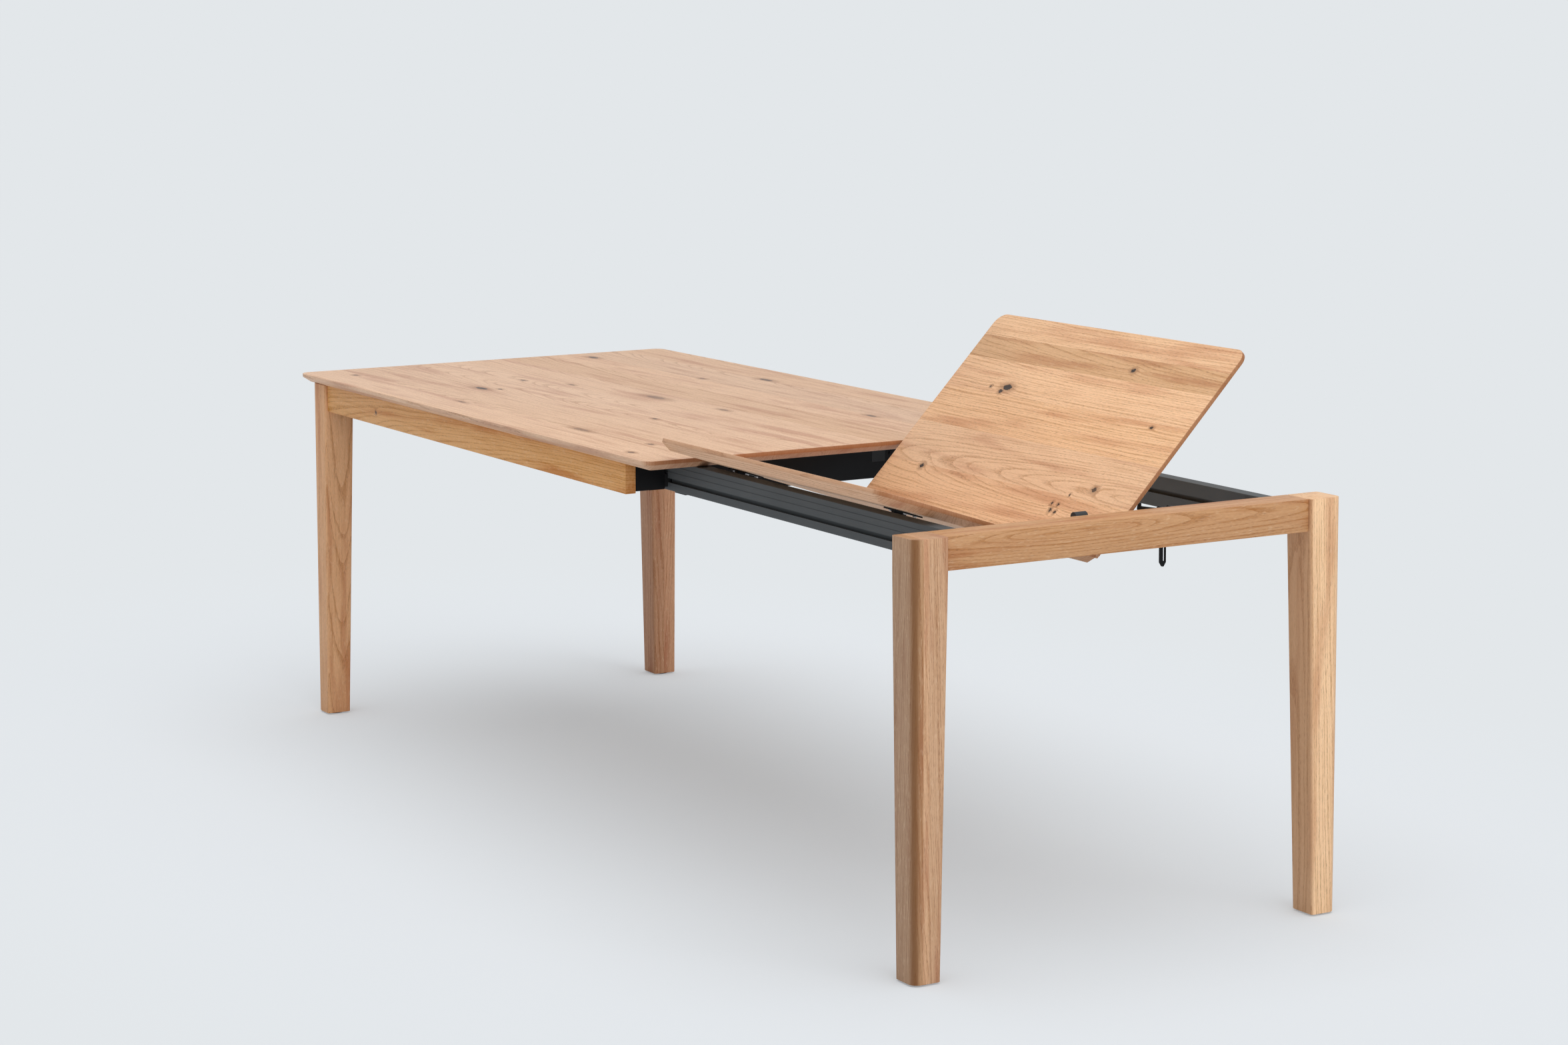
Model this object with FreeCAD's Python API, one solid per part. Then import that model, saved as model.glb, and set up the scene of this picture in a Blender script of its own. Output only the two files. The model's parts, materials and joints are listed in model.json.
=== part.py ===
import FreeCAD, Part
import math
import os

os.makedirs("parts", exist_ok=True)
V = FreeCAD.Vector

# Oak dining table with an end frame that pulls out on two rails and a folding leaf.
# X runs along the table, the end frame is at +X. Z is up, the floor is Z = 0.
# The origin is on the floor in the middle of the opened table. All sizes are millimetres.

# ---- tabletop ----
top_length = 1600.0
top_width = 900.0
top_height = 750.0
board_thickness = 19.0
edge_face = 7.5              # upright part of every board edge
bevel_inset = 18.0           # how far the bevel under the edge runs in
bevel_low_radius = 2.0       # least corner radius where the bevel ends
top_corner_radius = 22.0
end_overhang = 35.0          # tabletop past the legs at each end
side_overhang = 15.0         # tabletop past the legs at each side

# ---- legs ----
leg_depth_x = 68.0
leg_depth_y = 67.0
foot_depth_x = 54.5
foot_depth_y = 53.0
leg_outer_radius = 15.5
leg_arris = 5.0
leg_seat_cut = 19.0          # across a fixed leg's inner corner, beside the aprons only
glide_radius = 19.0
glide_thickness = 3.0
glide_stem_radius = 4.0
glide_stem_length = 22.0

# ---- aprons and end beam ----
apron_height = 57.0
apron_thickness = 21.0
side_apron_recess = 6.0
end_apron_recess = 7.5
apron_free_end = 119.0       # side apron stops this far short of the tabletop's end
end_beam_depth = 60.0
frame_gap = 1.0              # end frame passes this far below the tabletop
dowel_radius = 5.0
dowel_length = 50.0
dowel_spacing = 28.0

# ---- rails ----
fixed_rail_inset = 74.0      # tabletop edge to the outer face of the fixed rail
fixed_rail_width = 31.0
fixed_rail_height = 55.0
fixed_rail_wall = 2.5
fixed_rail_inset_x = 180.0   # from the tabletop's closed end
fixed_rail_end = 126.0       # short of the tabletop's open end
rail_spacing = 8.0           # between the fixed and the moving rail
rail_width = 27.0
rail_height = 56.0
rail_overlap = 324.0         # moving rail still beside the fixed rail when opened
rail_corner_radius = 1.2
slot_mouth = 8.0
slot_cavity = 18.5
slot_wall = 2.5
slot_depth = 6.5
outer_slot_height = 18.3     # centre of the outer slot above the rail's underside
line_groove_heights = (34.6, 46.0)
line_groove_size = 0.8
shoe_length = 40.0
slide_clearance = 0.35
stop_length = 24.0

# ---- stiffening beams under the tabletop ----
cross_beam_height = 69.0
cross_beam_depth = 40.0
cross_beam_wall = 2.5
cross_beam_gap = 6.0         # to the moving rail
inner_beam_start = 250.0     # from the tabletop's closed end
face_screw_offset = 144.0
face_screw_drop = 24.0

# ---- folding leaf ----
leaf_length = 750.0
leaf_end_gap = 5.0           # tabletop end to leaf
leaf_beam_gap = 42.5         # leaf to the end beam, so that a hand fits in
near_tilt = 18.2             # near board, outer edge raised
far_tilt = 45.9              # far board, outer edge raised
leaf_corner_radius = 25.0
seam_gap = 0.3
pivot_offset = 12.0          # pivot pin from the moving rail's inner face
pivot_places = (52.0, 580.0)  # along the leaf from its table end
pivot_pin_radius = 3.0
pivot_fit = 0.05
tongue_thickness = 9.0
tongue_end_radius = 6.5
ear_thickness = 4.0
ear_gap = 0.4
bracket_plate_length = 62.0
bracket_plate_width = 40.0
bracket_plate_thickness = 2.5
carrier_thickness = 2.5
carrier_height = 28.0
carrier_margin = 24.0        # carrier bar past the pivots
pivot_pin_proud = 2.0
hinge_radius = 6.0
hinge_depth = 15.0
hinge_places = (75.0, 275.0, 475.0, 675.0)
link_inner_radius = 6.0
link_outer_radius = 13.0
link_thickness = 1.6
link_count = 4

# ---- lock of the end frame ----
lever_place = 114.0          # from the middle of the table to the far side
lever_pivot_back = 12.5      # pivot from the end beam's inner face
lever_pivot_drop = 7.5       # pivot below the end frame's top
lever_pin_radius = 3.0
lever_pin_proud = 1.0
lever_handle_width = 12.5
lever_handle_thickness = 3.5
lever_handle_reach = 96.0
lever_tip_taper = 7.0
lever_tip_width = 3.0
lever_slot_width = 4.0
lever_slot_edge = 2.2        # metal beside the slot, on its far side
lever_slot_top = 20.0        # below the pivot
lever_slot_end = 9.0         # above the tip
lever_hook_drop = 4.0        # top of the hook below the end frame's top
lever_arm_length = 70.0
lever_arm_thickness = 5.0
lever_arm_height = 7.0
lever_hook_height = 4.5
lever_hook_base = 12.0
lever_hook_depth = 6.0
lever_hub_radius = 6.0
lever_ear_thickness = 2.5
lever_fit = 0.05
lever_plate_height = 30.0
lever_plate_margin = 10.0
notch_margin_near = 11.0     # notch in the cross beam, either side of the lever
notch_margin_far = 20.5
notch_tab_length = 52.0
notch_tab_drop = 10.0        # the folded tab reaches this far below the notch
spring_wire_radius = 0.6
spring_turns = 3
keeper_length = 8.0
keeper_width = 21.0
keeper_drop = 9.0
keeper_plate_length = 36.0
keeper_plate_thickness = 2.0
buffer_radius = 8.5
buffer_width = 24.0
buffer_place = -60.0         # middle of the rubber buffer, from the middle of the table
buffer_rise = 5.0            # its top above the end frame's top
buffer_stand_off = 1.0
buffer_foot_height = 22.0
buffer_foot_front = 3.0
buffer_screw_drop = 14.0
buffer_screw_bite = 8.0

# ---- fasteners and small steel pieces ----
screw_head_radius = 3.6
screw_head_height = 2.2
screw_shank_radius = 1.9
screw_length = 14.0
screw_fit = 0.05
screw_head_gap = 0.3
corner_plate_thickness = 2.5
corner_plate_height = 44.0
corner_plate_flange = 40.0
corner_plate_gap = 6.0
leg_bolt_radius = 4.0
leg_bolt_depth = 34.0
leg_bolt_tail = 9.0
nut_width = 13.0
nut_thickness = 6.5
angle_leg = 26.0
angle_width = 24.0
angle_thickness = 2.0
rail_bracket_length = 40.0
rail_bracket_width = 38.0
rail_bracket_height = 42.0
rail_bracket_thickness = 3.0
apron_bracket_thickness = 3.0
apron_bracket_flange = 42.0
apron_bracket_height = 54.0

# ---- worked out from the sizes above ----
# how far the end frame stands out from closed
extension = (leaf_length + leaf_end_gap + leaf_beam_gap + end_overhang + end_apron_recess
             + end_beam_depth)
closed_end = top_length - end_overhang
overall_length = closed_end + extension
x_left = -overall_length / 2
x_top_end = x_left + top_length
x_frame_end = overall_length / 2
half_width = top_width / 2
underside = top_height - board_thickness
apron_bottom = underside - apron_height
frame_top = underside - frame_gap
beam_bottom = apron_bottom
y_leg_outer = -half_width + side_overhang
y_leg_inner = y_leg_outer + leg_depth_y
x_beam_outer = x_frame_end - end_apron_recess
x_beam_inner = x_beam_outer - end_beam_depth
x_apron_free = x_top_end - apron_free_end
y_apron_inner = y_leg_outer + side_apron_recess + apron_thickness
y_fixed_outer = -half_width + fixed_rail_inset
y_fixed_inner = y_fixed_outer + fixed_rail_width
x_fixed_start = x_left + fixed_rail_inset_x
x_fixed_end = x_top_end - fixed_rail_end
y_rail_outer = y_fixed_inner + rail_spacing
y_rail_inner = y_rail_outer + rail_width
rail_bottom = frame_top - rail_height
x_rail_start = x_fixed_end - rail_overlap
outer_slot_z = rail_bottom + outer_slot_height
y_pivot = y_rail_inner + pivot_offset
rise = 2 * (0 - y_pivot) * math.tan(math.radians(near_tilt / 2))
z_pivot = top_height - rise / 2
inner_slot_z = z_pivot
x_leaf_start = x_top_end + leaf_end_gap
x_leaf_end = x_leaf_start + leaf_length
fold = near_tilt + far_tilt
x_cross_face = x_apron_free
x_lever = x_beam_inner - lever_pivot_back
z_lever = frame_top - lever_pivot_drop
drawn = extension            # the end frame moves back by this much to close


def box(xa, xb, ya, yb, za, zb):
    return Part.makeBox(xb - xa, yb - ya, zb - za, V(xa, ya, za))


def rod(centre, axis, radius, length):
    return Part.makeCylinder(radius, length, centre, axis)


def prism_x(points, xa, xb):
    """A straight piece along X with the given (y, z) outline."""
    wire = Part.makePolygon([V(xa, y, z) for y, z in points + points[:1]])
    return Part.Face(wire).extrude(V(xb - xa, 0, 0))


def prism_y(points, ya, yb):
    """A straight piece along Y with the given (x, z) outline."""
    wire = Part.makePolygon([V(x, ya, z) for x, z in points + points[:1]])
    return Part.Face(wire).extrude(V(0, yb - ya, 0))


def prism_z(points, za, zb):
    """A straight piece along Z with the given (x, y) outline."""
    wire = Part.makePolygon([V(x, y, za) for x, y in points + points[:1]])
    return Part.Face(wire).extrude(V(0, 0, zb - za))


def far_side(shape):
    return shape.mirror(V(0, 0, 0), V(0, 1, 0))


def save(name, *solids):
    """One file for each node, with its solids kept apart."""
    pieces = [s for shape in solids for s in shape.Solids]
    shape = pieces[0] if len(pieces) == 1 else Part.makeCompound(pieces)
    shape.exportStep("parts/" + name + ".step")


def save_pair(name, near_shape):
    save(name + "_near", near_shape)
    save(name + "_far", far_side(near_shape))


def rounded_outline(xa, xb, ya, yb, radius, z):
    """A closed rectangle with round corners, flat at height z."""
    d = radius * math.sqrt(0.5)
    corners = ((xb - radius, ya + radius, 1, -1), (xb - radius, yb - radius, 1, 1),
               (xa + radius, yb - radius, -1, 1), (xa + radius, ya + radius, -1, -1))
    edges = []
    last = None
    first = None
    for cx, cy, sx, sy in corners:
        if sx * sy < 0:
            begin, end = V(cx, cy + sy * radius, z), V(cx + sx * radius, cy, z)
        else:
            begin, end = V(cx + sx * radius, cy, z), V(cx, cy + sy * radius, z)
        if last is not None:
            edges.append(Part.LineSegment(last, begin).toShape())
        edges.append(Part.Arc(begin, V(cx + sx * d, cy + sy * d, z), end).toShape())
        first = first or begin
        last = end
    edges.append(Part.LineSegment(last, first).toShape())
    return Part.Wire(edges)


def bevelled_board(xa, xb, ya, yb, corner_radius):
    """A board with an upright edge face above and a bevel below, all round."""
    z_mid = top_height - edge_face
    upper = Part.Face(rounded_outline(xa, xb, ya, yb, corner_radius, z_mid))
    upper = upper.extrude(V(0, 0, edge_face))
    b = bevel_inset
    low_radius = max(corner_radius - b, bevel_low_radius)
    wide = rounded_outline(xa, xb, ya, yb, corner_radius, z_mid)
    narrow = rounded_outline(xa + b, xb - b, ya + b, yb - b, low_radius, underside)
    lower = Part.makeLoft([narrow, wide], True, True)
    return upper.fuse(lower).removeSplitter()


def wood_screw(head_seat, direction, length=screw_length):
    """Screw whose head rests on head_seat and whose shank runs along direction."""
    back = V(direction).multiply(-screw_head_height)
    head = rod(head_seat + back, direction, screw_head_radius, screw_head_height)
    shank = rod(head_seat, direction, screw_shank_radius, length)
    return head.fuse(shank)


def screw_holes(seats, length=screw_length):
    holes = [rod(p - V(d).multiply(screw_head_height), d, screw_shank_radius + screw_fit,
                 length + screw_head_height + screw_fit) for p, d in seats]
    return Part.makeCompound(holes)


def screws(seats, length=screw_length):
    return Part.makeCompound([wood_screw(p, d, length) for p, d in seats])


UP = V(0, 0, 1)
OUT_X = V(1, 0, 0)
BACK_X = V(-1, 0, 0)
NEAR = V(0, -1, 0)
FAR = V(0, 1, 0)


# ---- legs ----
def leg_section(depth_x, depth_y, z):
    """Plan of a leg from its outer corner at 0, 0: a wide round there, small ones elsewhere."""
    r = leg_outer_radius
    a = leg_arris
    q = math.sqrt(0.5)
    p = [V(r, 0, z), V(depth_x - a, 0, z), V(depth_x, a, z), V(depth_x, depth_y - a, z),
         V(depth_x - a, depth_y, z), V(a, depth_y, z), V(0, depth_y - a, z), V(0, r, z)]
    edges = [Part.LineSegment(p[0], p[1]).toShape(),
             Part.Arc(p[1], V(depth_x - a + a * q, a - a * q, z), p[2]).toShape(),
             Part.LineSegment(p[2], p[3]).toShape(),
             Part.Arc(p[3], V(depth_x - a + a * q, depth_y - a + a * q, z), p[4]).toShape(),
             Part.LineSegment(p[4], p[5]).toShape(),
             Part.Arc(p[5], V(a - a * q, depth_y - a + a * q, z), p[6]).toShape(),
             Part.LineSegment(p[6], p[7]).toShape(),
             Part.Arc(p[7], V(r - r * q, r - r * q, z), p[0]).toShape()]
    return Part.Wire(edges)


def leg(leg_top):
    """Leg with its outer corner at 0, 0: upright beside the aprons, tapered below."""
    foot = leg_section(foot_depth_x, foot_depth_y, glide_thickness)
    knee = leg_section(leg_depth_x, leg_depth_y, apron_bottom)
    lower = Part.makeLoft([foot, knee], True, True)
    upper = Part.Face(knee).extrude(V(0, 0, leg_top - apron_bottom))
    body = lower.fuse(upper).removeSplitter()
    stem_hole = rod(glide_centre(0, 0), UP, glide_stem_radius + screw_fit,
                    glide_stem_length + screw_fit)
    return body.cut(stem_hole)


def glide_centre(x, y):
    return V(x + foot_depth_x / 2, y + foot_depth_y / 2, glide_thickness)


def foot_glide():
    seat = glide_centre(0, 0)
    pad = rod(V(seat.x, seat.y, 0), UP, glide_radius, glide_thickness)
    stem = rod(seat, UP, glide_stem_radius, glide_stem_length)
    return pad.fuse(stem)


x_leg_outer = x_left + end_overhang
fixed_place = V(x_leg_outer, y_leg_outer, 0)
end_place = V(x_frame_end, y_leg_outer, 0)


def at_fixed_end(shape):
    return shape.translated(fixed_place)


def at_frame_end(shape):
    return shape.mirror(V(0, 0, 0), V(1, 0, 0)).translated(end_place)


leg_seat = prism_z([(leg_depth_x - leg_seat_cut, leg_depth_y), (leg_depth_x, leg_depth_y),
                    (leg_depth_x, leg_depth_y - leg_seat_cut)], apron_bottom, underside)
fixed_leg = at_fixed_end(leg(underside).cut(leg_seat))
end_leg = at_frame_end(leg(frame_top))
fixed_glide = at_fixed_end(foot_glide())
end_glide = at_frame_end(foot_glide())

# ---- aprons of the fixed frame ----
x_leg_inner = x_leg_outer + leg_depth_x
side_apron = box(x_leg_inner, x_apron_free, y_apron_inner - apron_thickness, y_apron_inner,
                 apron_bottom, underside)
x_end_apron = x_leg_outer + end_apron_recess
end_apron = box(x_end_apron, x_end_apron + apron_thickness, y_leg_inner, -y_leg_inner,
                apron_bottom, underside)

# ---- steel corner plate that draws a fixed leg into its two aprons ----
u_end = end_apron_recess + apron_thickness
v_side = side_apron_recess + apron_thickness
cut_sum = leg_depth_x + leg_depth_y - leg_seat_cut
plate_sum = cut_sum + corner_plate_gap * math.sqrt(2)
bend = corner_plate_thickness * math.tan(math.radians(22.5))
t = corner_plate_thickness
z_mid_apron = (apron_bottom + underside) / 2
corner_plate = prism_z([(plate_sum - v_side + corner_plate_flange, v_side),
                        (plate_sum - v_side, v_side),
                        (u_end, plate_sum - u_end),
                        (u_end, plate_sum - u_end + corner_plate_flange),
                        (u_end + t, plate_sum - u_end + corner_plate_flange),
                        (u_end + t, plate_sum - u_end + bend),
                        (plate_sum - v_side + bend, v_side + t),
                        (plate_sum - v_side + corner_plate_flange, v_side + t)],
                       z_mid_apron - corner_plate_height / 2,
                       z_mid_apron + corner_plate_height / 2)
diagonal = V(math.sqrt(0.5), math.sqrt(0.5), 0)
cut_middle = V(leg_depth_x - leg_seat_cut / 2, leg_depth_y - leg_seat_cut / 2,
               z_mid_apron)
bolt_start = cut_middle - V(diagonal).multiply(leg_bolt_depth)
plate_face = cut_middle + V(diagonal).multiply(corner_plate_gap + corner_plate_thickness)
bolt_length = leg_bolt_depth + corner_plate_gap + corner_plate_thickness + leg_bolt_tail
leg_bolt = rod(bolt_start, diagonal, leg_bolt_radius, bolt_length)
bolt_hole = rod(bolt_start, diagonal, leg_bolt_radius + screw_fit, bolt_length)
corner_plate = corner_plate.cut(bolt_hole)


def hexagon_nut(seat, axis):
    """Nut standing on seat, with a plain bore that clears its bolt."""
    reach = nut_width / math.sqrt(3)
    points = [V(reach * math.cos(math.radians(60 * k)), reach * math.sin(math.radians(60 * k)), 0)
              for k in range(7)]
    body = Part.Face(Part.makePolygon(points)).extrude(V(0, 0, nut_thickness))
    body = body.cut(rod(V(0, 0, 0), UP, leg_bolt_radius + screw_fit, nut_thickness))
    body.Placement = FreeCAD.Placement(seat, FreeCAD.Rotation(UP, axis))
    return body


leg_nut = hexagon_nut(plate_face, diagonal)
flange_mid = corner_plate_flange / 2 + bend
side_seat = V(plate_sum - v_side + flange_mid, v_side + t, z_mid_apron)
end_seat = V(u_end + t, plate_sum - u_end + flange_mid, z_mid_apron)
corner_seats = []
for dz in (-corner_plate_height / 4, corner_plate_height / 4):
    corner_seats.append((side_seat + V(0, 0, dz) + fixed_place, NEAR))
    corner_seats.append((end_seat + V(0, 0, dz) + fixed_place, BACK_X))
corner_plate = at_fixed_end(corner_plate).cut(screw_holes(corner_seats))
fixed_leg = fixed_leg.cut(at_fixed_end(bolt_hole))

# ---- fixed rails: box tubes under the tabletop ----
w = fixed_rail_wall
fixed_rail = box(x_fixed_start, x_fixed_end, y_fixed_outer, y_fixed_inner,
                 underside - fixed_rail_height, underside)
fixed_rail = fixed_rail.cut(box(x_fixed_start, x_fixed_end, y_fixed_outer + w, y_fixed_inner - w,
                                underside - fixed_rail_height + w, underside - w))

# ---- moving rails: slotted extrusions ----
rail_top = rail_bottom + rail_height


def slot_cutter(y_face, inward, z_mid, xa, xb, shrink=0.0):
    """T-shaped slot from y_face along inward (+1 or -1); shrink makes the piece that fits it."""
    s = shrink
    mouth_y = sorted((y_face, y_face + inward * (slot_wall + slot_depth / 2)))
    cavity_y = sorted((y_face + inward * (slot_wall + s),
                       y_face + inward * (slot_wall + slot_depth - s)))
    mouth = box(xa, xb, mouth_y[0], mouth_y[1], z_mid - slot_mouth / 2 + s,
                z_mid + slot_mouth / 2 - s)
    cavity = box(xa, xb, cavity_y[0], cavity_y[1], z_mid - slot_cavity / 2 + s,
                 z_mid + slot_cavity / 2 - s)
    return mouth.fuse(cavity)


def moving_rail_shape():
    r = rail_corner_radius
    body = box(x_rail_start, x_beam_inner, y_rail_outer, y_rail_inner, rail_bottom, rail_top)
    long_edges = [e for e in body.Edges if abs(e.BoundBox.XLength) > rail_height]
    body = body.makeFillet(r, long_edges)
    body = body.cut(slot_cutter(y_rail_outer, 1, outer_slot_z, x_rail_start, x_beam_inner))
    body = body.cut(slot_cutter(y_rail_inner, -1, inner_slot_z, x_rail_start, x_beam_inner))
    chamber_bottom = inner_slot_z + slot_cavity / 2 + slot_wall
    body = body.cut(box(x_rail_start, x_beam_inner, y_rail_outer + slot_wall,
                        y_rail_inner - slot_wall, chamber_bottom, rail_top - slot_wall))
    g = line_groove_size
    for height in line_groove_heights:
        z = rail_bottom + height
        body = body.cut(box(x_rail_start, x_beam_inner, y_rail_outer, y_rail_outer + g,
                            z - g / 2, z + g / 2))
    return body


moving_rail = moving_rail_shape()

# ---- guide shoes: on the fixed rail, running in the moving rail's outer slot ----
shoe_half = slot_cavity / 2 + slot_wall


def guide_shoe(xa):
    xb = xa + shoe_length
    base = box(xa, xb, y_fixed_inner, y_rail_outer - slide_clearance, outer_slot_z - shoe_half,
               outer_slot_z + shoe_half)
    tee = slot_cutter(y_rail_outer, 1, outer_slot_z, xa, xb, slide_clearance)
    neck = box(xa, xb, y_rail_outer - slide_clearance - 1, y_rail_outer + slot_wall,
               outer_slot_z - slot_mouth / 2 + slide_clearance,
               outer_slot_z + slot_mouth / 2 - slide_clearance)
    return base.fuse([tee, neck]).removeSplitter()


front_shoe = guide_shoe(x_fixed_end - shoe_length)
rear_shoe = guide_shoe(x_rail_start + stop_length + slide_clearance)
rail_stop = slot_cutter(y_rail_outer, 1, outer_slot_z, x_rail_start, x_rail_start + stop_length,
                        screw_fit)
cap_plate = box(x_rail_start - slot_wall, x_rail_start, y_rail_outer, y_rail_inner, rail_bottom,
                rail_top)
rail_stop = rail_stop.fuse(cap_plate)

# ---- stiffening beams ----
y_cross = y_rail_inner + cross_beam_gap


def cross_beam(x_face):
    """Channel with its web at x_face and its flanges behind."""
    wall = cross_beam_wall
    body = box(x_face - cross_beam_depth, x_face, y_cross, -y_cross,
               underside - cross_beam_height, underside)
    return body.cut(box(x_face - cross_beam_depth, x_face - wall, y_cross, -y_cross,
                        underside - cross_beam_height + wall, underside - wall))


open_beam = cross_beam(x_cross_face)
notch_near = lever_place - notch_margin_near
notch_far = lever_place + notch_margin_far
notch_floor = z_lever - lever_plate_height
open_beam = open_beam.cut(box(x_cross_face - cross_beam_depth, x_cross_face,
                              notch_near, notch_far, notch_floor, underside))
# the sheet of the notch is folded back along its far edge
open_beam = open_beam.fuse(box(x_cross_face - notch_tab_length, x_cross_face,
                               notch_far - cross_beam_wall, notch_far,
                               notch_floor - notch_tab_drop, underside)).removeSplitter()
inner_beam = cross_beam(x_left + inner_beam_start)
beam_seat_z = underside - cross_beam_wall
beam_places = [y_cross * k for k in (0.9, 0.45, 0.0, -0.6, -0.9)]
open_beam_seats = [(V(x_cross_face - cross_beam_depth / 2, y, beam_seat_z), UP)
                   for y in beam_places]
inner_beam_seats = [(V(x_left + inner_beam_start - cross_beam_depth / 2, y, beam_seat_z), UP)
                    for y in beam_places]
face_screw_z = underside - face_screw_drop
face_seats = [(V(x_cross_face, y, face_screw_z), BACK_X)
              for y in (-face_screw_offset, face_screw_offset)]
face_length = 6.0
open_beam = open_beam.cut(screw_holes(open_beam_seats)).cut(screw_holes(face_seats, face_length))
inner_beam = inner_beam.cut(screw_holes(inner_beam_seats))

# ---- fixed rail screws, up through the tube's upper wall ----
rail_screw_count = 5
rail_screw_inset = 60.0
rail_screw_step = (x_fixed_end - x_fixed_start - 2 * rail_screw_inset) / (rail_screw_count - 1)
y_fixed_mid = (y_fixed_outer + y_fixed_inner) / 2
rail_seats = [(V(x_fixed_start + rail_screw_inset + k * rail_screw_step, y_fixed_mid,
                 underside - w), UP) for k in range(rail_screw_count)]
fixed_rail = fixed_rail.cut(screw_holes(rail_seats))

# ---- angle brackets between the aprons and the tabletop ----
angle_places = (330.0, 760.0, 1190.0)
angle_end_place = 180.0


def side_angle(x_mid):
    xa, xb = x_mid - angle_width / 2, x_mid + angle_width / 2
    y = y_apron_inner
    return box(xa, xb, y, y + angle_thickness, underside - angle_leg, underside).fuse(
        box(xa, xb, y, y + angle_leg, underside - angle_thickness, underside))


def end_angle(y_mid):
    ya, yb = y_mid - angle_width / 2, y_mid + angle_width / 2
    x = x_end_apron + apron_thickness
    return box(x, x + angle_thickness, ya, yb, underside - angle_leg, underside).fuse(
        box(x, x + angle_leg, ya, yb, underside - angle_thickness, underside))


angle_reach = angle_leg * 0.62
side_angles = []
angle_seats = []
for place in angle_places:
    x_mid = x_left + place
    side_angles.append(side_angle(x_mid))
    angle_seats.append((V(x_mid, y_apron_inner + angle_thickness, underside - angle_reach), NEAR))
    angle_seats.append((V(x_mid, y_apron_inner + angle_reach, underside - angle_thickness), UP))
end_angles = []
x_end_inner = x_end_apron + apron_thickness
end_angles.append(end_angle(-angle_end_place))
angle_seats.append((V(x_end_inner + angle_thickness, -angle_end_place, underside - angle_reach),
                    BACK_X))
angle_seats.append((V(x_end_inner + angle_reach, -angle_end_place, underside - angle_thickness),
                    UP))
angles = Part.makeCompound(side_angles + end_angles).cut(screw_holes(angle_seats))

# ---- brackets that tie the free end of each side apron to its fixed rail ----
at = apron_bracket_thickness
apron_bracket_bottom = underside - apron_bracket_height
apron_bracket = box(x_fixed_end, x_fixed_end + at, y_apron_inner, y_fixed_inner,
                    apron_bracket_bottom, underside)
apron_bracket = apron_bracket.fuse(box(x_fixed_end + at - apron_bracket_flange, x_fixed_end + at,
                                       y_apron_inner, y_apron_inner + at,
                                       apron_bracket_bottom, underside)).removeSplitter()
apron_bracket_seats = []
for k in (0.25, 0.75):
    apron_bracket_seats.append((V(x_fixed_end - apron_bracket_flange / 2, y_apron_inner + at,
                                  apron_bracket_bottom + k * apron_bracket_height), NEAR))
apron_bracket = apron_bracket.cut(screw_holes(apron_bracket_seats))
apron_seats = angle_seats + apron_bracket_seats

# ---- end beam, dowels and rail brackets of the end frame ----
end_beam = box(x_beam_inner, x_beam_outer, y_leg_inner, -y_leg_inner, beam_bottom, frame_top)
dowels = []
for dz in (-dowel_spacing / 2, dowel_spacing / 2):
    centre = V((x_beam_inner + x_beam_outer) / 2, y_leg_inner - dowel_length / 2,
               (beam_bottom + frame_top) / 2 + dz)
    dowels.append((centre, FAR))
dowel_holes = Part.makeCompound([rod(p - V(0, screw_fit, 0), d, dowel_radius + screw_fit,
                                     dowel_length + 2 * screw_fit) for p, d in dowels])
near_dowels = Part.makeCompound([rod(p, d, dowel_radius, dowel_length) for p, d in dowels])
end_leg = end_leg.cut(dowel_holes)
end_beam = end_beam.cut(dowel_holes).cut(far_side(dowel_holes))

bt = rail_bracket_thickness
z_rail_mid = (rail_bottom + rail_top) / 2
zb0, zb1 = z_rail_mid - rail_bracket_height / 2, z_rail_mid + rail_bracket_height / 2
rail_bracket = box(x_beam_inner - rail_bracket_length, x_beam_inner, y_rail_inner,
                   y_rail_inner + bt, zb0, zb1)
rail_bracket = rail_bracket.fuse(box(x_beam_inner - bt, x_beam_inner, y_rail_inner,
                                     y_rail_inner + rail_bracket_width, zb0, zb1))
bracket_seats = []
for dz in (-rail_bracket_height / 4, rail_bracket_height / 4):
    bracket_seats.append((V(x_beam_inner - bt, y_rail_inner + rail_bracket_width * 0.65,
                            z_rail_mid + dz), OUT_X))
rail_bolt_seats = []
rail_bolt_length = rail_bracket_thickness + slot_wall + slot_depth * 0.6
for k in (0.3, 0.7):
    rail_bolt_seats.append((V(x_beam_inner - bt - k * (rail_bracket_length - bt),
                              y_rail_inner + bt, inner_slot_z), NEAR))
rail_bracket = rail_bracket.cut(screw_holes(bracket_seats))
rail_bracket = rail_bracket.cut(screw_holes(rail_bolt_seats, rail_bolt_length))
bracket_screws = Part.makeCompound(screws(bracket_seats).Solids
                                   + screws(rail_bolt_seats, rail_bolt_length).Solids)
end_beam = end_beam.cut(screw_holes(bracket_seats)).cut(far_side(screw_holes(bracket_seats)))

# ---- leaf boards, drawn flat and then turned to the pose in which the table stands ----
pivot_axis_point = V(0, y_pivot, z_pivot)
seam_axis_point = V(0, 0, top_height)


def to_rest_near(shape):
    turned = shape.copy()
    turned.rotate(pivot_axis_point, OUT_X, -near_tilt)
    return turned


def to_rest_far(shape):
    turned = shape.copy()
    turned.rotate(seam_axis_point, OUT_X, fold)
    return to_rest_near(turned)


whole_leaf = bevelled_board(x_leaf_start, x_leaf_end, -half_width, half_width,
                            leaf_corner_radius)
near_half = box(x_leaf_start, x_leaf_end, -half_width, -seam_gap / 2, underside, top_height)
far_half = box(x_leaf_start, x_leaf_end, seam_gap / 2, half_width, underside, top_height)
near_board = whole_leaf.common(near_half)
far_board = whole_leaf.common(far_half)

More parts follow.
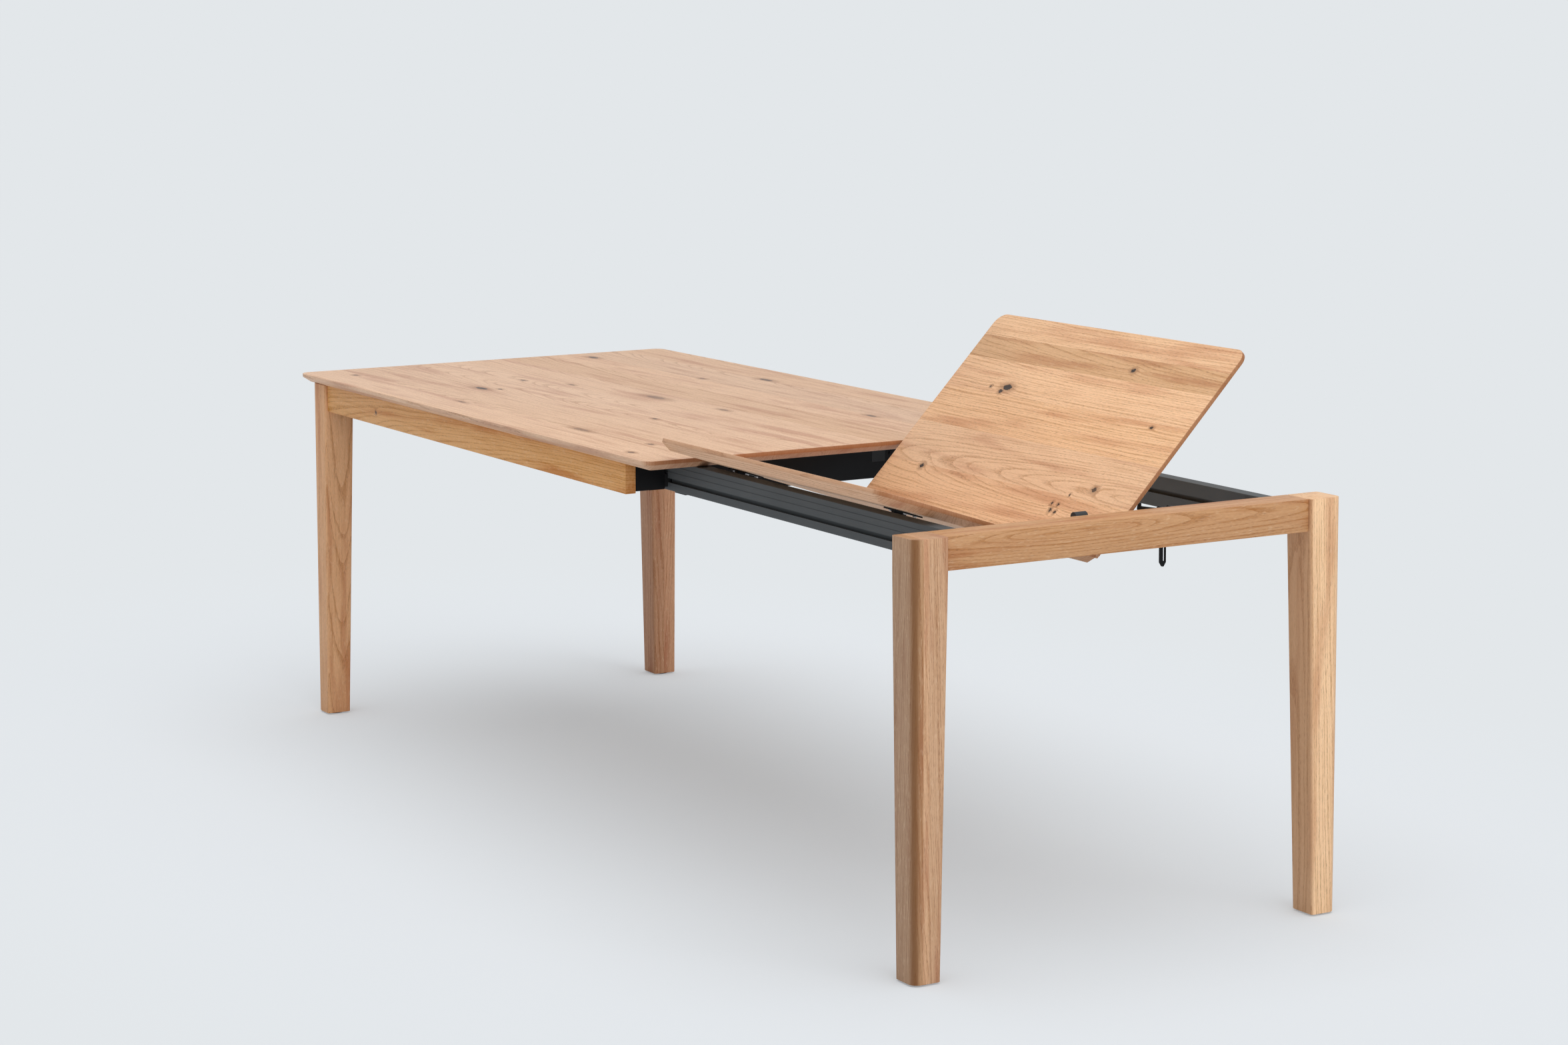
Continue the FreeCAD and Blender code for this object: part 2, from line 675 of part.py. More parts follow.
# ---- barrel hinges let into the seam ----
hinge_z = top_height - board_thickness / 2
near_barrels = []
far_barrels = []
for place in hinge_places:
    x = x_leaf_start + place
    near_barrels.append((V(x, -seam_gap / 2, hinge_z), NEAR))
    far_barrels.append((V(x, seam_gap / 2, hinge_z), FAR))


def barrel_holes(seats):
    return Part.makeCompound([rod(p, d, hinge_radius + screw_fit, hinge_depth + screw_fit)
                              for p, d in seats])


near_hinges = Part.makeCompound([rod(p, d, hinge_radius, hinge_depth) for p, d in near_barrels])
far_hinges = Part.makeCompound([rod(p, d, hinge_radius, hinge_depth) for p, d in far_barrels])
near_board = near_board.cut(barrel_holes(near_barrels))
far_board = far_board.cut(barrel_holes(far_barrels))


def hinge_link(x_mid):
    """Stack of link plates that bridges the open seam, drawn about the seam line."""
    plates = []
    step = 2 * hinge_radius / (link_count + 1)
    inner, outer = link_inner_radius, link_outer_radius
    for k in range(link_count):
        x = x_mid - hinge_radius + (k + 1) * step - link_thickness / 2
        trim = math.degrees(seam_gap / inner)
        ring = Part.makeCylinder(outer, link_thickness, V(x, 0, top_height), OUT_X)
        ring = ring.cut(Part.makeCylinder(inner, link_thickness, V(x, 0, top_height), OUT_X))
        reach = 2 * outer
        a0, a1 = math.radians(-90 + trim), math.radians(-90 + fold - trim)
        wedge = prism_x([(0, top_height),
                         (reach * math.cos(a0), top_height + reach * math.sin(a0)),
                         (reach * math.cos((a0 + a1) / 2) * 1.3,
                          top_height + reach * math.sin((a0 + a1) / 2) * 1.3),
                         (reach * math.cos(a1), top_height + reach * math.sin(a1))],
                        x, x + link_thickness)
        plates.append(ring.common(wedge))
    spine = Part.makeCylinder(1.0, 2 * hinge_radius,
                              V(x_mid - hinge_radius,
                                (inner + outer) / 2 * math.sin(math.radians(fold / 2)),
                                top_height - (inner + outer) / 2
                                * math.cos(math.radians(fold / 2))), OUT_X)
    return plates[0].fuse(plates[1:] + [spine])


hinge_links = Part.makeCompound([hinge_link(x_leaf_start + p) for p in hinge_places])

# ---- pivot brackets under the near board, and the carrier they turn on ----
bracket_back = y_pivot - tongue_end_radius


def pivot_bracket(x_mid):
    plate = box(x_mid - bracket_plate_length / 2, x_mid + bracket_plate_length / 2, bracket_back,
                bracket_back + bracket_plate_width, underside - bracket_plate_thickness,
                underside)
    r = tongue_end_radius
    tongue = prism_x([(y_pivot - r, z_pivot), (y_pivot - r, underside - bracket_plate_thickness),
                      (y_pivot + 3 * r, underside - bracket_plate_thickness),
                      (y_pivot + r, z_pivot)],
                     x_mid - tongue_thickness / 2, x_mid + tongue_thickness / 2)
    end = rod(V(x_mid - tongue_thickness / 2, y_pivot, z_pivot), OUT_X, r, tongue_thickness)
    bore = rod(V(x_mid - tongue_thickness, y_pivot, z_pivot), OUT_X,
               pivot_pin_radius + pivot_fit, 2 * tongue_thickness)
    return plate.fuse([tongue, end]).removeSplitter().cut(bore)


def bracket_plate_seats(x_mid):
    z = underside - bracket_plate_thickness
    seats = []
    for dx in (-0.36, 0.36):
        for dy in (0.25, 0.75):
            seats.append((V(x_mid + dx * bracket_plate_length,
                            bracket_back + dy * bracket_plate_width, z), UP))
    return seats


pivot_x = [x_leaf_start + p for p in pivot_places]
leaf_screw_seats = [s for x in pivot_x for s in bracket_plate_seats(x)]
leaf_screws = screws(leaf_screw_seats)
pivot_brackets = [pivot_bracket(x).cut(screw_holes(bracket_plate_seats(x))) for x in pivot_x]
near_board = near_board.cut(screw_holes(leaf_screw_seats))

y_carrier = y_rail_inner + slide_clearance
carrier_front = y_carrier + carrier_thickness
ear_start = tongue_thickness / 2 + ear_gap


def carrier_ear(x_mid, side):
    xa = x_mid + side * ear_start
    xb = xa + side * ear_thickness
    xa, xb = min(xa, xb), max(xa, xb)
    r = tongue_end_radius
    plate = box(xa, xb, carrier_front - carrier_thickness / 2, y_pivot, z_pivot - r, z_pivot + r)
    return plate.fuse(rod(V(xa, y_pivot, z_pivot), OUT_X, r, ear_thickness))


carrier = box(pivot_x[0] - carrier_margin, pivot_x[1] + carrier_margin, y_carrier, carrier_front,
              z_pivot - carrier_height / 2, z_pivot + carrier_height / 2)
ears = [carrier_ear(x, side) for x in pivot_x for side in (-1, 1)]
carrier = carrier.fuse(ears).removeSplitter()
pin_length = 2 * (ear_start + ear_thickness + pivot_pin_proud)
pins = []
for x in pivot_x:
    start = V(x - pin_length / 2, y_pivot, z_pivot)
    pins.append(rod(start, OUT_X, pivot_pin_radius, pin_length))
    carrier = carrier.cut(rod(start, OUT_X, pivot_pin_radius + 0.02, pin_length))
pivot_pins = Part.makeCompound(pins)


def carrier_shoe(x_mid):
    """Shoe that fills the moving rail's inner slot and is bolted behind the carrier bar."""
    xa, xb = x_mid - shoe_length / 2, x_mid + shoe_length / 2
    tee = slot_cutter(y_rail_inner, -1, inner_slot_z, xa, xb, slide_clearance)
    neck = box(xa, xb, y_rail_inner - slot_wall, y_carrier,
               inner_slot_z - slot_mouth / 2 + slide_clearance,
               inner_slot_z + slot_mouth / 2 - slide_clearance)
    return tee.fuse(neck).removeSplitter()


# ---- lock lever of the end frame ----
def release_lever_shape():
    h = lever_handle_thickness / 2
    half = lever_handle_width / 2
    tip_z = z_lever - lever_handle_reach
    tip_half = lever_tip_width / 2
    handle = prism_x([(lever_place - half, z_lever), (lever_place + half, z_lever),
                      (lever_place + half, tip_z + lever_tip_taper),
                      (lever_place + tip_half, tip_z), (lever_place - tip_half, tip_z),
                      (lever_place - half, tip_z + lever_tip_taper)], x_lever - h, x_lever + h)
    shoulders = [e for e in handle.Edges
                 if e.BoundBox.ZLength < 1 and abs(e.BoundBox.ZMax - tip_z - lever_tip_taper) < 1
                 and e.BoundBox.XLength > h]
    handle = handle.makeFillet(lever_tip_taper * 0.6, shoulders)
    slot_far = lever_place + half - lever_slot_edge
    handle = handle.cut(box(x_lever - h, x_lever + h, slot_far - lever_slot_width, slot_far,
                            tip_z + lever_slot_end, z_lever - lever_slot_top))
    arm_half = lever_arm_thickness / 2
    arm_top = z_lever + lever_pin_radius - 0.5
    nose = x_lever - lever_arm_length
    nose_top = z_lever - lever_hook_height + lever_pin_radius
    hook_top = frame_top - lever_hook_drop
    hook_back = nose + lever_hook_depth
    arm = prism_y([(x_lever, arm_top), (nose + lever_hook_base, nose_top), (hook_back, nose_top),
                   (hook_back, hook_top), (nose + lever_hook_depth / 2, hook_top),
                   (nose, nose_top - lever_arm_height / 2),
                   (nose, nose_top - lever_arm_height), (x_lever, z_lever - lever_arm_height)],
                  lever_place - arm_half, lever_place + arm_half)
    hub = rod(V(x_lever, lever_place - half, z_lever), FAR, lever_hub_radius - 1.5,
              lever_handle_width)
    body = handle.fuse([arm, hub]).removeSplitter()
    return body.cut(rod(V(x_lever, lever_place - lever_handle_width, z_lever), FAR,
                        lever_pin_radius + lever_fit, 2 * lever_handle_width))


release_lever = release_lever_shape()
spring_room = 2 * spring_wire_radius * spring_turns + 1.0
ear_near = lever_place - lever_handle_width / 2 - slide_clearance
ear_far = lever_place + lever_handle_width / 2 + spring_room
plate_z0 = z_lever - lever_plate_height + lever_pin_radius
plate_z1 = frame_top - slide_clearance
lt = lever_ear_thickness
lever_bracket = box(x_beam_inner - lt, x_beam_inner, ear_near - lt - lever_plate_margin,
                    ear_far + lt + lever_plate_margin, plate_z0, plate_z1)
for ya in (ear_near - lt, ear_far):
    lever_ear = box(x_lever, x_beam_inner, ya, ya + lt, z_lever - lever_hub_radius,
                    plate_z1)
    lever_ear = lever_ear.fuse(rod(V(x_lever, ya, z_lever), FAR, plate_z1 - z_lever, lt))
    lever_bracket = lever_bracket.fuse(lever_ear)
pin_start = V(x_lever, ear_near - lt - lever_pin_proud, z_lever)
lever_pin_length = ear_far - ear_near + 2 * (lt + lever_pin_proud)
lever_pin = rod(pin_start, FAR, lever_pin_radius, lever_pin_length)
lever_bracket = lever_bracket.removeSplitter().cut(
    rod(pin_start, FAR, lever_pin_radius + 0.02, lever_pin_length))
lever_seats = []
for y in (ear_near - lt - lever_plate_margin / 2, ear_far + lt + lever_plate_margin / 2):
    lever_seats.append((V(x_beam_inner - lt, y, (plate_z0 + z_lever) / 2), OUT_X))
lever_bracket = lever_bracket.cut(screw_holes(lever_seats))
end_beam = end_beam.cut(screw_holes(lever_seats))


def lever_spring_shape():
    """Torsion spring beside the lever: turns round the pin and one leg to the plate."""
    wire = spring_wire_radius
    ring_radius = lever_pin_radius + wire + 0.3
    y0 = lever_place + lever_handle_width / 2 + 0.5 + wire
    pitch = 1.8 * wire
    turns = [Part.makeTorus(ring_radius, wire, V(x_lever, y0 + k * pitch, z_lever), FAR)
             for k in range(spring_turns)]
    tail_top = V(x_lever, y0, z_lever - ring_radius)
    tail = rod(tail_top, OUT_X, wire, lever_pivot_back - lt - 0.3)
    return turns[0].fuse(turns[1:] + [tail])


lever_spring = lever_spring_shape()

# rubber buffer: a roll along Y on a foot that is screwed to the end beam
x_buffer = x_beam_inner - buffer_stand_off - buffer_radius
z_buffer = frame_top + buffer_rise - buffer_radius
buffer_near = buffer_place - buffer_width / 2
x_foot_front = x_buffer - buffer_foot_front
bump_stop = rod(V(x_buffer, buffer_near, z_buffer), FAR, buffer_radius, buffer_width)
bump_stop = bump_stop.fuse(box(x_foot_front, x_beam_inner, buffer_near,
                               buffer_near + buffer_width, z_buffer - buffer_foot_height,
                               z_buffer)).removeSplitter()
bump_front = V(x_foot_front, buffer_place, z_buffer - buffer_screw_drop)
bump_seat = [(bump_front + V(screw_head_height, 0, 0), OUT_X)]
bump_screw_length = x_beam_inner - x_foot_front - screw_head_height + buffer_screw_bite
bump_holes = screw_holes(bump_seat, bump_screw_length)
bump_recess = rod(bump_front, OUT_X, screw_head_radius + screw_head_gap, screw_head_height)
bump_stop = bump_stop.cut(bump_recess).cut(bump_holes)
bump_screw = screws(bump_seat, bump_screw_length)
end_beam = end_beam.cut(bump_holes)


# ---- keepers that the lever's hook catches ----
hook_catch = x_lever - lever_arm_length + lever_hook_depth


def keeper(x_catch):
    """Plate under a board with a tooth in front of the hook."""
    xa = x_catch + slide_clearance
    ya, yb = lever_place - keeper_width / 2, lever_place + keeper_width / 2
    plate = box(xa, xa + keeper_plate_length, ya, yb, underside - keeper_plate_thickness,
                underside)
    tooth = box(xa, xa + keeper_length / 4, ya, yb, underside - keeper_drop, underside)
    return plate.fuse(tooth).removeSplitter()


def keeper_seats(x_catch):
    x = x_catch + slide_clearance + keeper_plate_length * 0.7
    return [(V(x, lever_place + dy, underside - keeper_plate_thickness), UP)
            for dy in (-keeper_width / 4, keeper_width / 4)]


locked_with_leaf = x_leaf_end - end_overhang - x_frame_end
top_catch = hook_catch - drawn
leaf_catch = hook_catch + locked_with_leaf
top_keeper = keeper(top_catch).cut(screw_holes(keeper_seats(top_catch)))
leaf_keeper = keeper(leaf_catch).cut(screw_holes(keeper_seats(leaf_catch)))
far_board = far_board.cut(screw_holes(keeper_seats(leaf_catch)))

# ---- tabletop, cut for every screw that enters it ----
table_top = bevelled_board(x_left, x_top_end, -half_width, half_width, top_corner_radius)
upward_angle_seats = [s for s in angle_seats if s[1].z > 0.5]
for seats in (open_beam_seats, inner_beam_seats, keeper_seats(top_catch)):
    table_top = table_top.cut(screw_holes(seats))
for seats in (rail_seats, upward_angle_seats):
    holes = screw_holes(seats)
    table_top = table_top.cut(holes).cut(far_side(holes))
side_apron = side_apron.cut(screw_holes(corner_seats)).cut(screw_holes(apron_seats))
end_holes = screw_holes([s for s in corner_seats + angle_seats if s[1].x < -0.5])
end_apron = end_apron.cut(end_holes).cut(far_side(end_holes))

# ---- files ----
save("table_top", table_top)
save_pair("fixed_leg", fixed_leg)
save_pair("side_apron", side_apron)
save("end_apron", end_apron)
save_pair("corner_plate", corner_plate)
save("leg_bolts", at_fixed_end(leg_bolt), far_side(at_fixed_end(leg_bolt)))
save("leg_nuts", at_fixed_end(leg_nut), far_side(at_fixed_end(leg_nut)))
corner_screws = screws(corner_seats)
save("corner_plate_screws", corner_screws, far_side(corner_screws))
save("top_angles", angles, far_side(angles))
save_pair("apron_bracket", apron_bracket)
apron_screws = screws(apron_seats)
save("apron_screws", apron_screws, far_side(apron_screws))
save_pair("fixed_rail", fixed_rail)
rail_screws = screws(rail_seats)
save("fixed_rail_screws", rail_screws, far_side(rail_screws))
save_pair("front_guide_shoe", front_shoe)
save_pair("rear_guide_shoe", rear_shoe)
save("open_end_cross_beam", open_beam)
save("inner_cross_beam", inner_beam)
save("cross_beam_screws", screws(open_beam_seats), screws(inner_beam_seats),
     screws(face_seats, face_length))
save("top_keeper", top_keeper)
save("top_keeper_screws", screws(keeper_seats(top_catch)))
save("fixed_foot_glides", fixed_glide, far_side(fixed_glide))

save_pair("end_leg", end_leg)
save("end_beam", end_beam)
save("end_beam_dowels", near_dowels, far_side(near_dowels))
save_pair("moving_rail", moving_rail)
save_pair("rail_stop", rail_stop)
save_pair("rail_bracket", rail_bracket)
save("rail_bracket_screws", bracket_screws, far_side(bracket_screws))
save("end_foot_glides", end_glide, far_side(end_glide))
save("lever_bracket", lever_bracket)
save("lever_pin", lever_pin)
save("bump_stop", bump_stop)
save("end_beam_screws", screws(lever_seats), bump_screw)

save("release_lever", release_lever)
save("lever_spring", lever_spring)

save("leaf_carrier", carrier)
save("carrier_shoe_left", carrier_shoe(pivot_x[0]))
save("carrier_shoe_right", carrier_shoe(pivot_x[1]))
save("pivot_pins", pivot_pins)

save("leaf_board_near", to_rest_near(near_board))
save("pivot_bracket_left", to_rest_near(pivot_brackets[0]))
save("pivot_bracket_right", to_rest_near(pivot_brackets[1]))
save("pivot_bracket_screws", to_rest_near(leaf_screws))
save("hinge_barrels_near", to_rest_near(near_hinges))
save("hinge_links", to_rest_near(hinge_links))

save("leaf_board_far", to_rest_far(far_board))
save("hinge_barrels_far", to_rest_far(far_hinges))
save("leaf_keeper", to_rest_far(leaf_keeper))
save("leaf_keeper_screws", to_rest_far(screws(keeper_seats(leaf_catch))))

seam_rest = to_rest_near(Part.Vertex(seam_axis_point)).Point
print("pivot", round(y_pivot, 3), round(z_pivot, 3))
print("seam at rest", round(seam_rest.y, 3), round(seam_rest.z, 3))
print("leaf", x_leaf_start, x_leaf_end, "beam inner face", x_beam_inner)
print("lever pivot", x_lever, lever_place, z_lever)
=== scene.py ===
# %% [markdown]
# # An oak dining table with a pull-out end, dressed for its picture
# The table is oiled solid oak on four tapered legs. One pair of legs and a thick end
# beam slide out on two black rails, and a leaf of two hinged boards unfolds in the gap.
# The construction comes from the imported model, which is loaded as a fixed frame. This
# script gives each surface its finish, and models the oak pieces again with softened
# edges, because sawn and sanded wood never ends in a perfectly sharp corner.

# %% Load the frame
import json
import math

import bmesh
import bpy
from mathutils import Matrix, Vector


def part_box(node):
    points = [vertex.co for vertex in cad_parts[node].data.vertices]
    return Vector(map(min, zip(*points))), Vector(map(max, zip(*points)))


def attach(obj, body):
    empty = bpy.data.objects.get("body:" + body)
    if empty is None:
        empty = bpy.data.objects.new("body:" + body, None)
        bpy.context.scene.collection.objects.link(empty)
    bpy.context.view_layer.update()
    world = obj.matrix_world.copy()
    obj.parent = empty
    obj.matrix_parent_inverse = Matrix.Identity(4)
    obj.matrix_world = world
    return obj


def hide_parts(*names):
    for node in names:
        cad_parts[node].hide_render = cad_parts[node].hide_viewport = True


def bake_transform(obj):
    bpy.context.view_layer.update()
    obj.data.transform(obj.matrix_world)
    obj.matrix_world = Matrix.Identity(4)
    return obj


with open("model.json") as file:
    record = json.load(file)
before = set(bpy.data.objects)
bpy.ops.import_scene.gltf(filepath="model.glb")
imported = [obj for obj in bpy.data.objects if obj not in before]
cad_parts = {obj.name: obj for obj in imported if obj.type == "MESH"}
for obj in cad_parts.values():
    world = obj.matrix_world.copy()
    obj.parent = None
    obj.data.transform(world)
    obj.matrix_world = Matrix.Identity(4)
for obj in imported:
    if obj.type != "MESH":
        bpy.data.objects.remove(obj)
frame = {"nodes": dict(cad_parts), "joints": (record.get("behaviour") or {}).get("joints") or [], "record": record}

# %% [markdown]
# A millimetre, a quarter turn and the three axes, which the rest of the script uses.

MM = 0.001
QUARTER = math.pi / 2
ALONG_X, ALONG_Y, ALONG_Z = Vector((1, 0, 0)), Vector((0, 1, 0)), Vector((0, 0, 1))
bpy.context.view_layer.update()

# %% [markdown]
# ## Small helpers
# Colours are written as people read them, as sRGB hex values, and one function turns
# them to the linear numbers that a shader wants. Operators act on whatever is selected,
# so a second helper clears the selection and makes one object active.

# %% Colour and selection
WHITE = "#FFFFFF"


def linear(hex_colour):
    """An sRGB hex colour as linear red, green, blue and alpha, by the sRGB curve."""
    channels = [int(hex_colour[i:i + 2], 16) / 255 for i in (1, 3, 5)]
    return [c / 12.92 if c <= 0.04045 else ((c + 0.055) / 1.055) ** 2.4
            for c in channels] + [1.0]


def only(piece):
    """Make one object the only selected and active one."""
    bpy.ops.object.select_all(action="DESELECT")
    piece.select_set(True)
    bpy.context.view_layer.objects.active = piece


print("white in linear light:", linear(WHITE))

# %% [markdown]
# ## One way to add a shader node
# Each material below is a small network. This function adds one node, sets its
# properties and plain inputs, and links the rest, so that a recipe reads line by line.
# A node that is given as an input is linked by the first output that it has in use.

# %% Adding a node
def add(tree, kind, inputs=(), **settings):
    """Add a node. Inputs come by name in a dict, or by place in a tuple."""
    made = tree.nodes.new("ShaderNode" + kind)
    for name, value in settings.items():
        setattr(made, name, value)
    for key, value in inputs.items() if isinstance(inputs, dict) else enumerate(inputs):
        if isinstance(value, bpy.types.Node):
            value = next(output for output in value.outputs if output.enabled)
        if isinstance(value, bpy.types.NodeSocket):
            tree.links.new(value, made.inputs[key])
        else:
            made.inputs[key].default_value = value
    return made


def new_material(name):
    """A material without nodes yet, and its tree."""
    material = bpy.data.materials.new(name)
    material.use_nodes = True
    material.node_tree.nodes.clear()
    return material, material.node_tree


def dress(piece, material):
    """Give an object one material and no other."""
    piece.data.materials.clear()
    piece.data.materials.append(material)


print("node helpers ready")

# %% [markdown]
# ## Oak
# Oak is a ring-porous wood: each year starts with a row of wide pores, which are cut
# open as short dark dashes along the grain, and ends in dense, smooth latewood. A
# board is a slice through those rings, so the pattern here is worked out in depth, as
# the distance from the log's pith. Where the saw runs flat to the rings they open into
# arches, and on the end of a board they show as arcs, and both come by themselves.
#
# The rings of real oak are 1 to 4 mm apart. They are drawn 5 mm apart here, and the
# pores 0.6 mm wide and up to 8 mm long, so that both still show across a room.

# %% The oiled oak's colours and gloss
OAK_LATEWOOD = "#EABD92"  # pale, dense wood between the rings
OAK_EARLYWOOD = "#C48F5E"  # warmer band at the start of each ring
OAK_STREAK = "#C0835A"  # broad darker stretches, where the log grew slowly
OAK_PORE = "#7A4A29"  # the open pores, in shade
OAK_STAIN = "#7E5127"  # brown mineral stain in a leg's wood
OAK_RAY = "#F6D9B8"  # silvery flecks of the rays
# the end grain's colour, also used as painted shade on the far end leg's sides
OAK_END_AND_SHADE = "#9C6238"  # end grain drinks more oil and turns darker
OAK_HALO = "#8A5836"  # the wood that bends round a knot
OAK_KNOT = "#1C1512"  # the black filler in a knot
OAK_ROUGHNESS = 0.50  # a hard wax oil, rubbed out
OAK_GLOSS = 0.35  # specular level, low because open grain breaks the film
print("pale oak in linear light:", [round(v, 3) for v in linear(OAK_LATEWOOD)])

# %% [markdown]
# A wide board is glued up from staves, each sawn from another part of the log, so each
# has its own tone. Three numbers describe one: where it begins across the board, its
# shade, and how much warmer than plain oak it is. The stave that a point lies in is
# found by counting the glue lines below it. At each line the tone takes its next step,
# and the count seeds a random colour that moves the stave to another place in the log.
# On some pieces the stave tones also hold painted light and shade, noted where they are set.

# %% Which stave a point lies in
def stave_of(tree, across, staves, seed):
    """The place across the stave, its shade, its warmth, and three dice of its own."""
    _, shade, warmth = staves[0]
    sums = {"count": seed, "begin": 0.0, "shade": shade, "warmth": warmth}
    last = {"count": 0.0, "begin": 0.0, "shade": shade, "warmth": warmth}
    for begin, shade, warmth in staves[1:]:
        over = add(tree, "Math", (across, begin), operation="GREATER_THAN")
        here = {"count": 1.0, "begin": begin, "shade": shade, "warmth": warmth}
        for key in sums:
            sums[key] = add(tree, "Math", (over, here[key] - last[key], sums[key]),
                            operation="MULTIPLY_ADD")
        last = dict(here, count=0.0)
    dice = add(tree, "TexWhiteNoise", {"W": sums["count"]}, noise_dimensions="1D")
    place = add(tree, "Math", (across, sums["begin"]), operation="SUBTRACT")
    return (place, sums["shade"], sums["warmth"],
            add(tree, "SeparateColor", {"Color": dice.outputs["Color"]}).outputs)


print("stave finder ready")

# %% [markdown]
# A knot is where a branch left the trunk. It goes right through the board, so it is
# measured in the plane of the face only, as a long oval along the grain. Five numbers
# describe one: its place along and across the board, its half length and half width,
# and how dark its heart is. The size of the nearest oval also tells how far the rings
# are pushed aside around it.

# %% How near a point is to a knot
KNOT_TEAR = (16 * MM, 8 * MM, 0)  # how far a knot's outline is torn along and across
KNOT_TEAR_WAVES = 150.0  # how finely, in waves per metre
NOISE_MIDDLE = (0.5, 0.5, 0.5)  # what a noise swings about
HEART_STARTS, HEART_FULL = 0.95, 0.80  # where the dark heart begins, in half sizes
NO_KNOT = 100.0  # a distance at which nothing of a knot is left


def nearest_knot(tree, point, knots):
    """Distance to the nearest knot in its own half sizes, and how dark its heart is here."""
    jitter = add(tree, "TexNoise", {"Vector": point, "Scale": KNOT_TEAR_WAVES, "Detail": 4.0,
                                    "Roughness": 0.7}).outputs["Color"]
    rough = add(tree, "VectorMath", (jitter, NOISE_MIDDLE), operation="SUBTRACT")
    torn = add(tree, "VectorMath", (rough, KNOT_TEAR, point), operation="MULTIPLY_ADD")
    nearest, darkest = NO_KNOT, 0.0
    for along, across, half_length, half_width, darkness in knots:
        away = add(tree, "VectorMath", (torn, (along, across, 0)), operation="SUBTRACT")
        scaled = add(tree, "VectorMath", (away, (1 / half_length, 1 / half_width, 0)),
                     operation="MULTIPLY")
        size = add(tree, "VectorMath", (scaled,), operation="LENGTH")
        heart = add(tree, "MapRange", {"Value": size, "From Min": HEART_STARTS,
                                       "From Max": HEART_FULL, "To Max": darkness})
        nearest = add(tree, "Math", (size, nearest), operation="MINIMUM")
        darkest = add(tree, "Math", (heart, darkest), operation="MAXIMUM")
    return nearest, darkest


print("a knot's heart is", HEART_FULL, "of its size")

# %% [markdown]
# Most patterns in wood are far longer along the grain than across it, so they come from
# one soft noise that is stretched by a number of waves per metre on each axis. The rings
# are drawn from the distance to the pith, which lies elsewhere for each stave and changes
# along a tapered trunk. One noise makes them wander, another makes some years wider, and
# a knot pushes them aside by an amount that fades away from it.

# %% Growth rings
RING_SPACING = 5.0 * MM
RING_WANDER = 7 * MM  # how far the rings stray along a board
WANDER_WAVES = (2.6, 11, 11)
PITH_LEAN = 0.06  # a trunk tapers, so the saw runs across its rings at a slope
PITH_SIDE, PITH_SPREAD = -0.17, 0.22  # metres beside a stave's start, and the dice's share
PITH_DEPTH = 45 * MM  # from half of this to one and a half times as deep
YEARS_ALIKE = 2.5  # neighbouring years that are about as wide
YEARS_UNEVEN = 2.2  # how many rings the wide years add up to
EARLYWOOD_SHARE = 0.5  # of each ring
KNOT_PUSH = 9 * MM  # how far a knot pushes the rings aside
KNOT_FADE = 0.55  # how fast that fades, for each half size of the knot


def long_noise(tree, place, waves, detail, roughness=0.5):
    """A noise drawn out along the grain, with its waves per metre on each axis."""
    stretched = add(tree, "VectorMath", (place, waves), operation="MULTIPLY")
    return add(tree, "TexNoise", {"Vector": stretched, "Scale": 1.0, "Detail": detail,
                                  "Roughness": roughness})


def from_pith(tree, split, across, dice, log_place):
    """Distance from the log's pith, with the wander of a grown trunk."""
    pith_side = add(tree, "Math", (dice["Green"], PITH_SPREAD, PITH_SIDE),
                    operation="MULTIPLY_ADD")
    side = add(tree, "Math", (across, pith_side), operation="ADD")
    depth = add(tree, "Math", (dice["Blue"], PITH_DEPTH, PITH_DEPTH / 2),
                operation="MULTIPLY_ADD")
    leaning = add(tree, "Math", (split["X"], PITH_LEAN, split["Z"]), operation="MULTIPLY_ADD")
    deep = add(tree, "Math", (leaning, depth), operation="SUBTRACT")
    radial = add(tree, "CombineXYZ", {"X": side, "Y": deep})
    radius = add(tree, "VectorMath", (radial,), operation="LENGTH")
    wander = long_noise(tree, log_place, WANDER_WAVES, 4.0)
    return add(tree, "Math", (wander, 2 * RING_WANDER, radius), operation="MULTIPLY_ADD")


def pushed_aside(tree, distance, near):
    """The same distance, with the rings bent round the nearest knot."""
    fall = add(tree, "Math", (near, -KNOT_FADE), operation="MULTIPLY")
    swell = add(tree, "Math", (fall,), operation="EXPONENT")
    return add(tree, "Math", (swell, KNOT_PUSH, distance), operation="MULTIPLY_ADD")


def earlywood_of(tree, distance):
    """1 at the start of each ring, falling to 0 where its latewood begins."""
    years = add(tree, "TexNoise", {"W": distance, "Scale": 1 / (YEARS_ALIKE * RING_SPACING),
                                   "Detail": 2.0}, noise_dimensions="1D")
    uneven = add(tree, "Math", (years, YEARS_UNEVEN * RING_SPACING, distance),
                 operation="MULTIPLY_ADD")
    phase = add(tree, "Math", (uneven, 1 / RING_SPACING), operation="MULTIPLY")
    ring = add(tree, "Math", (phase,), operation="FRACT")
    return add(tree, "MapRange", {"Value": ring, "From Min": EARLYWOOD_SHARE, "From Max": 0.0},
               interpolation_type="SMOOTHSTEP")


print("rings every", round(RING_SPACING / MM, 1), "mm")

# %% [markdown]
# Pores are cut open as short dashes, most of them in the earlywood. Fibres give a fine
# mottle between them. The wood's colour runs from latewood to earlywood with the ring
# and the mottle, then come broad streaks and the stave's own tone.

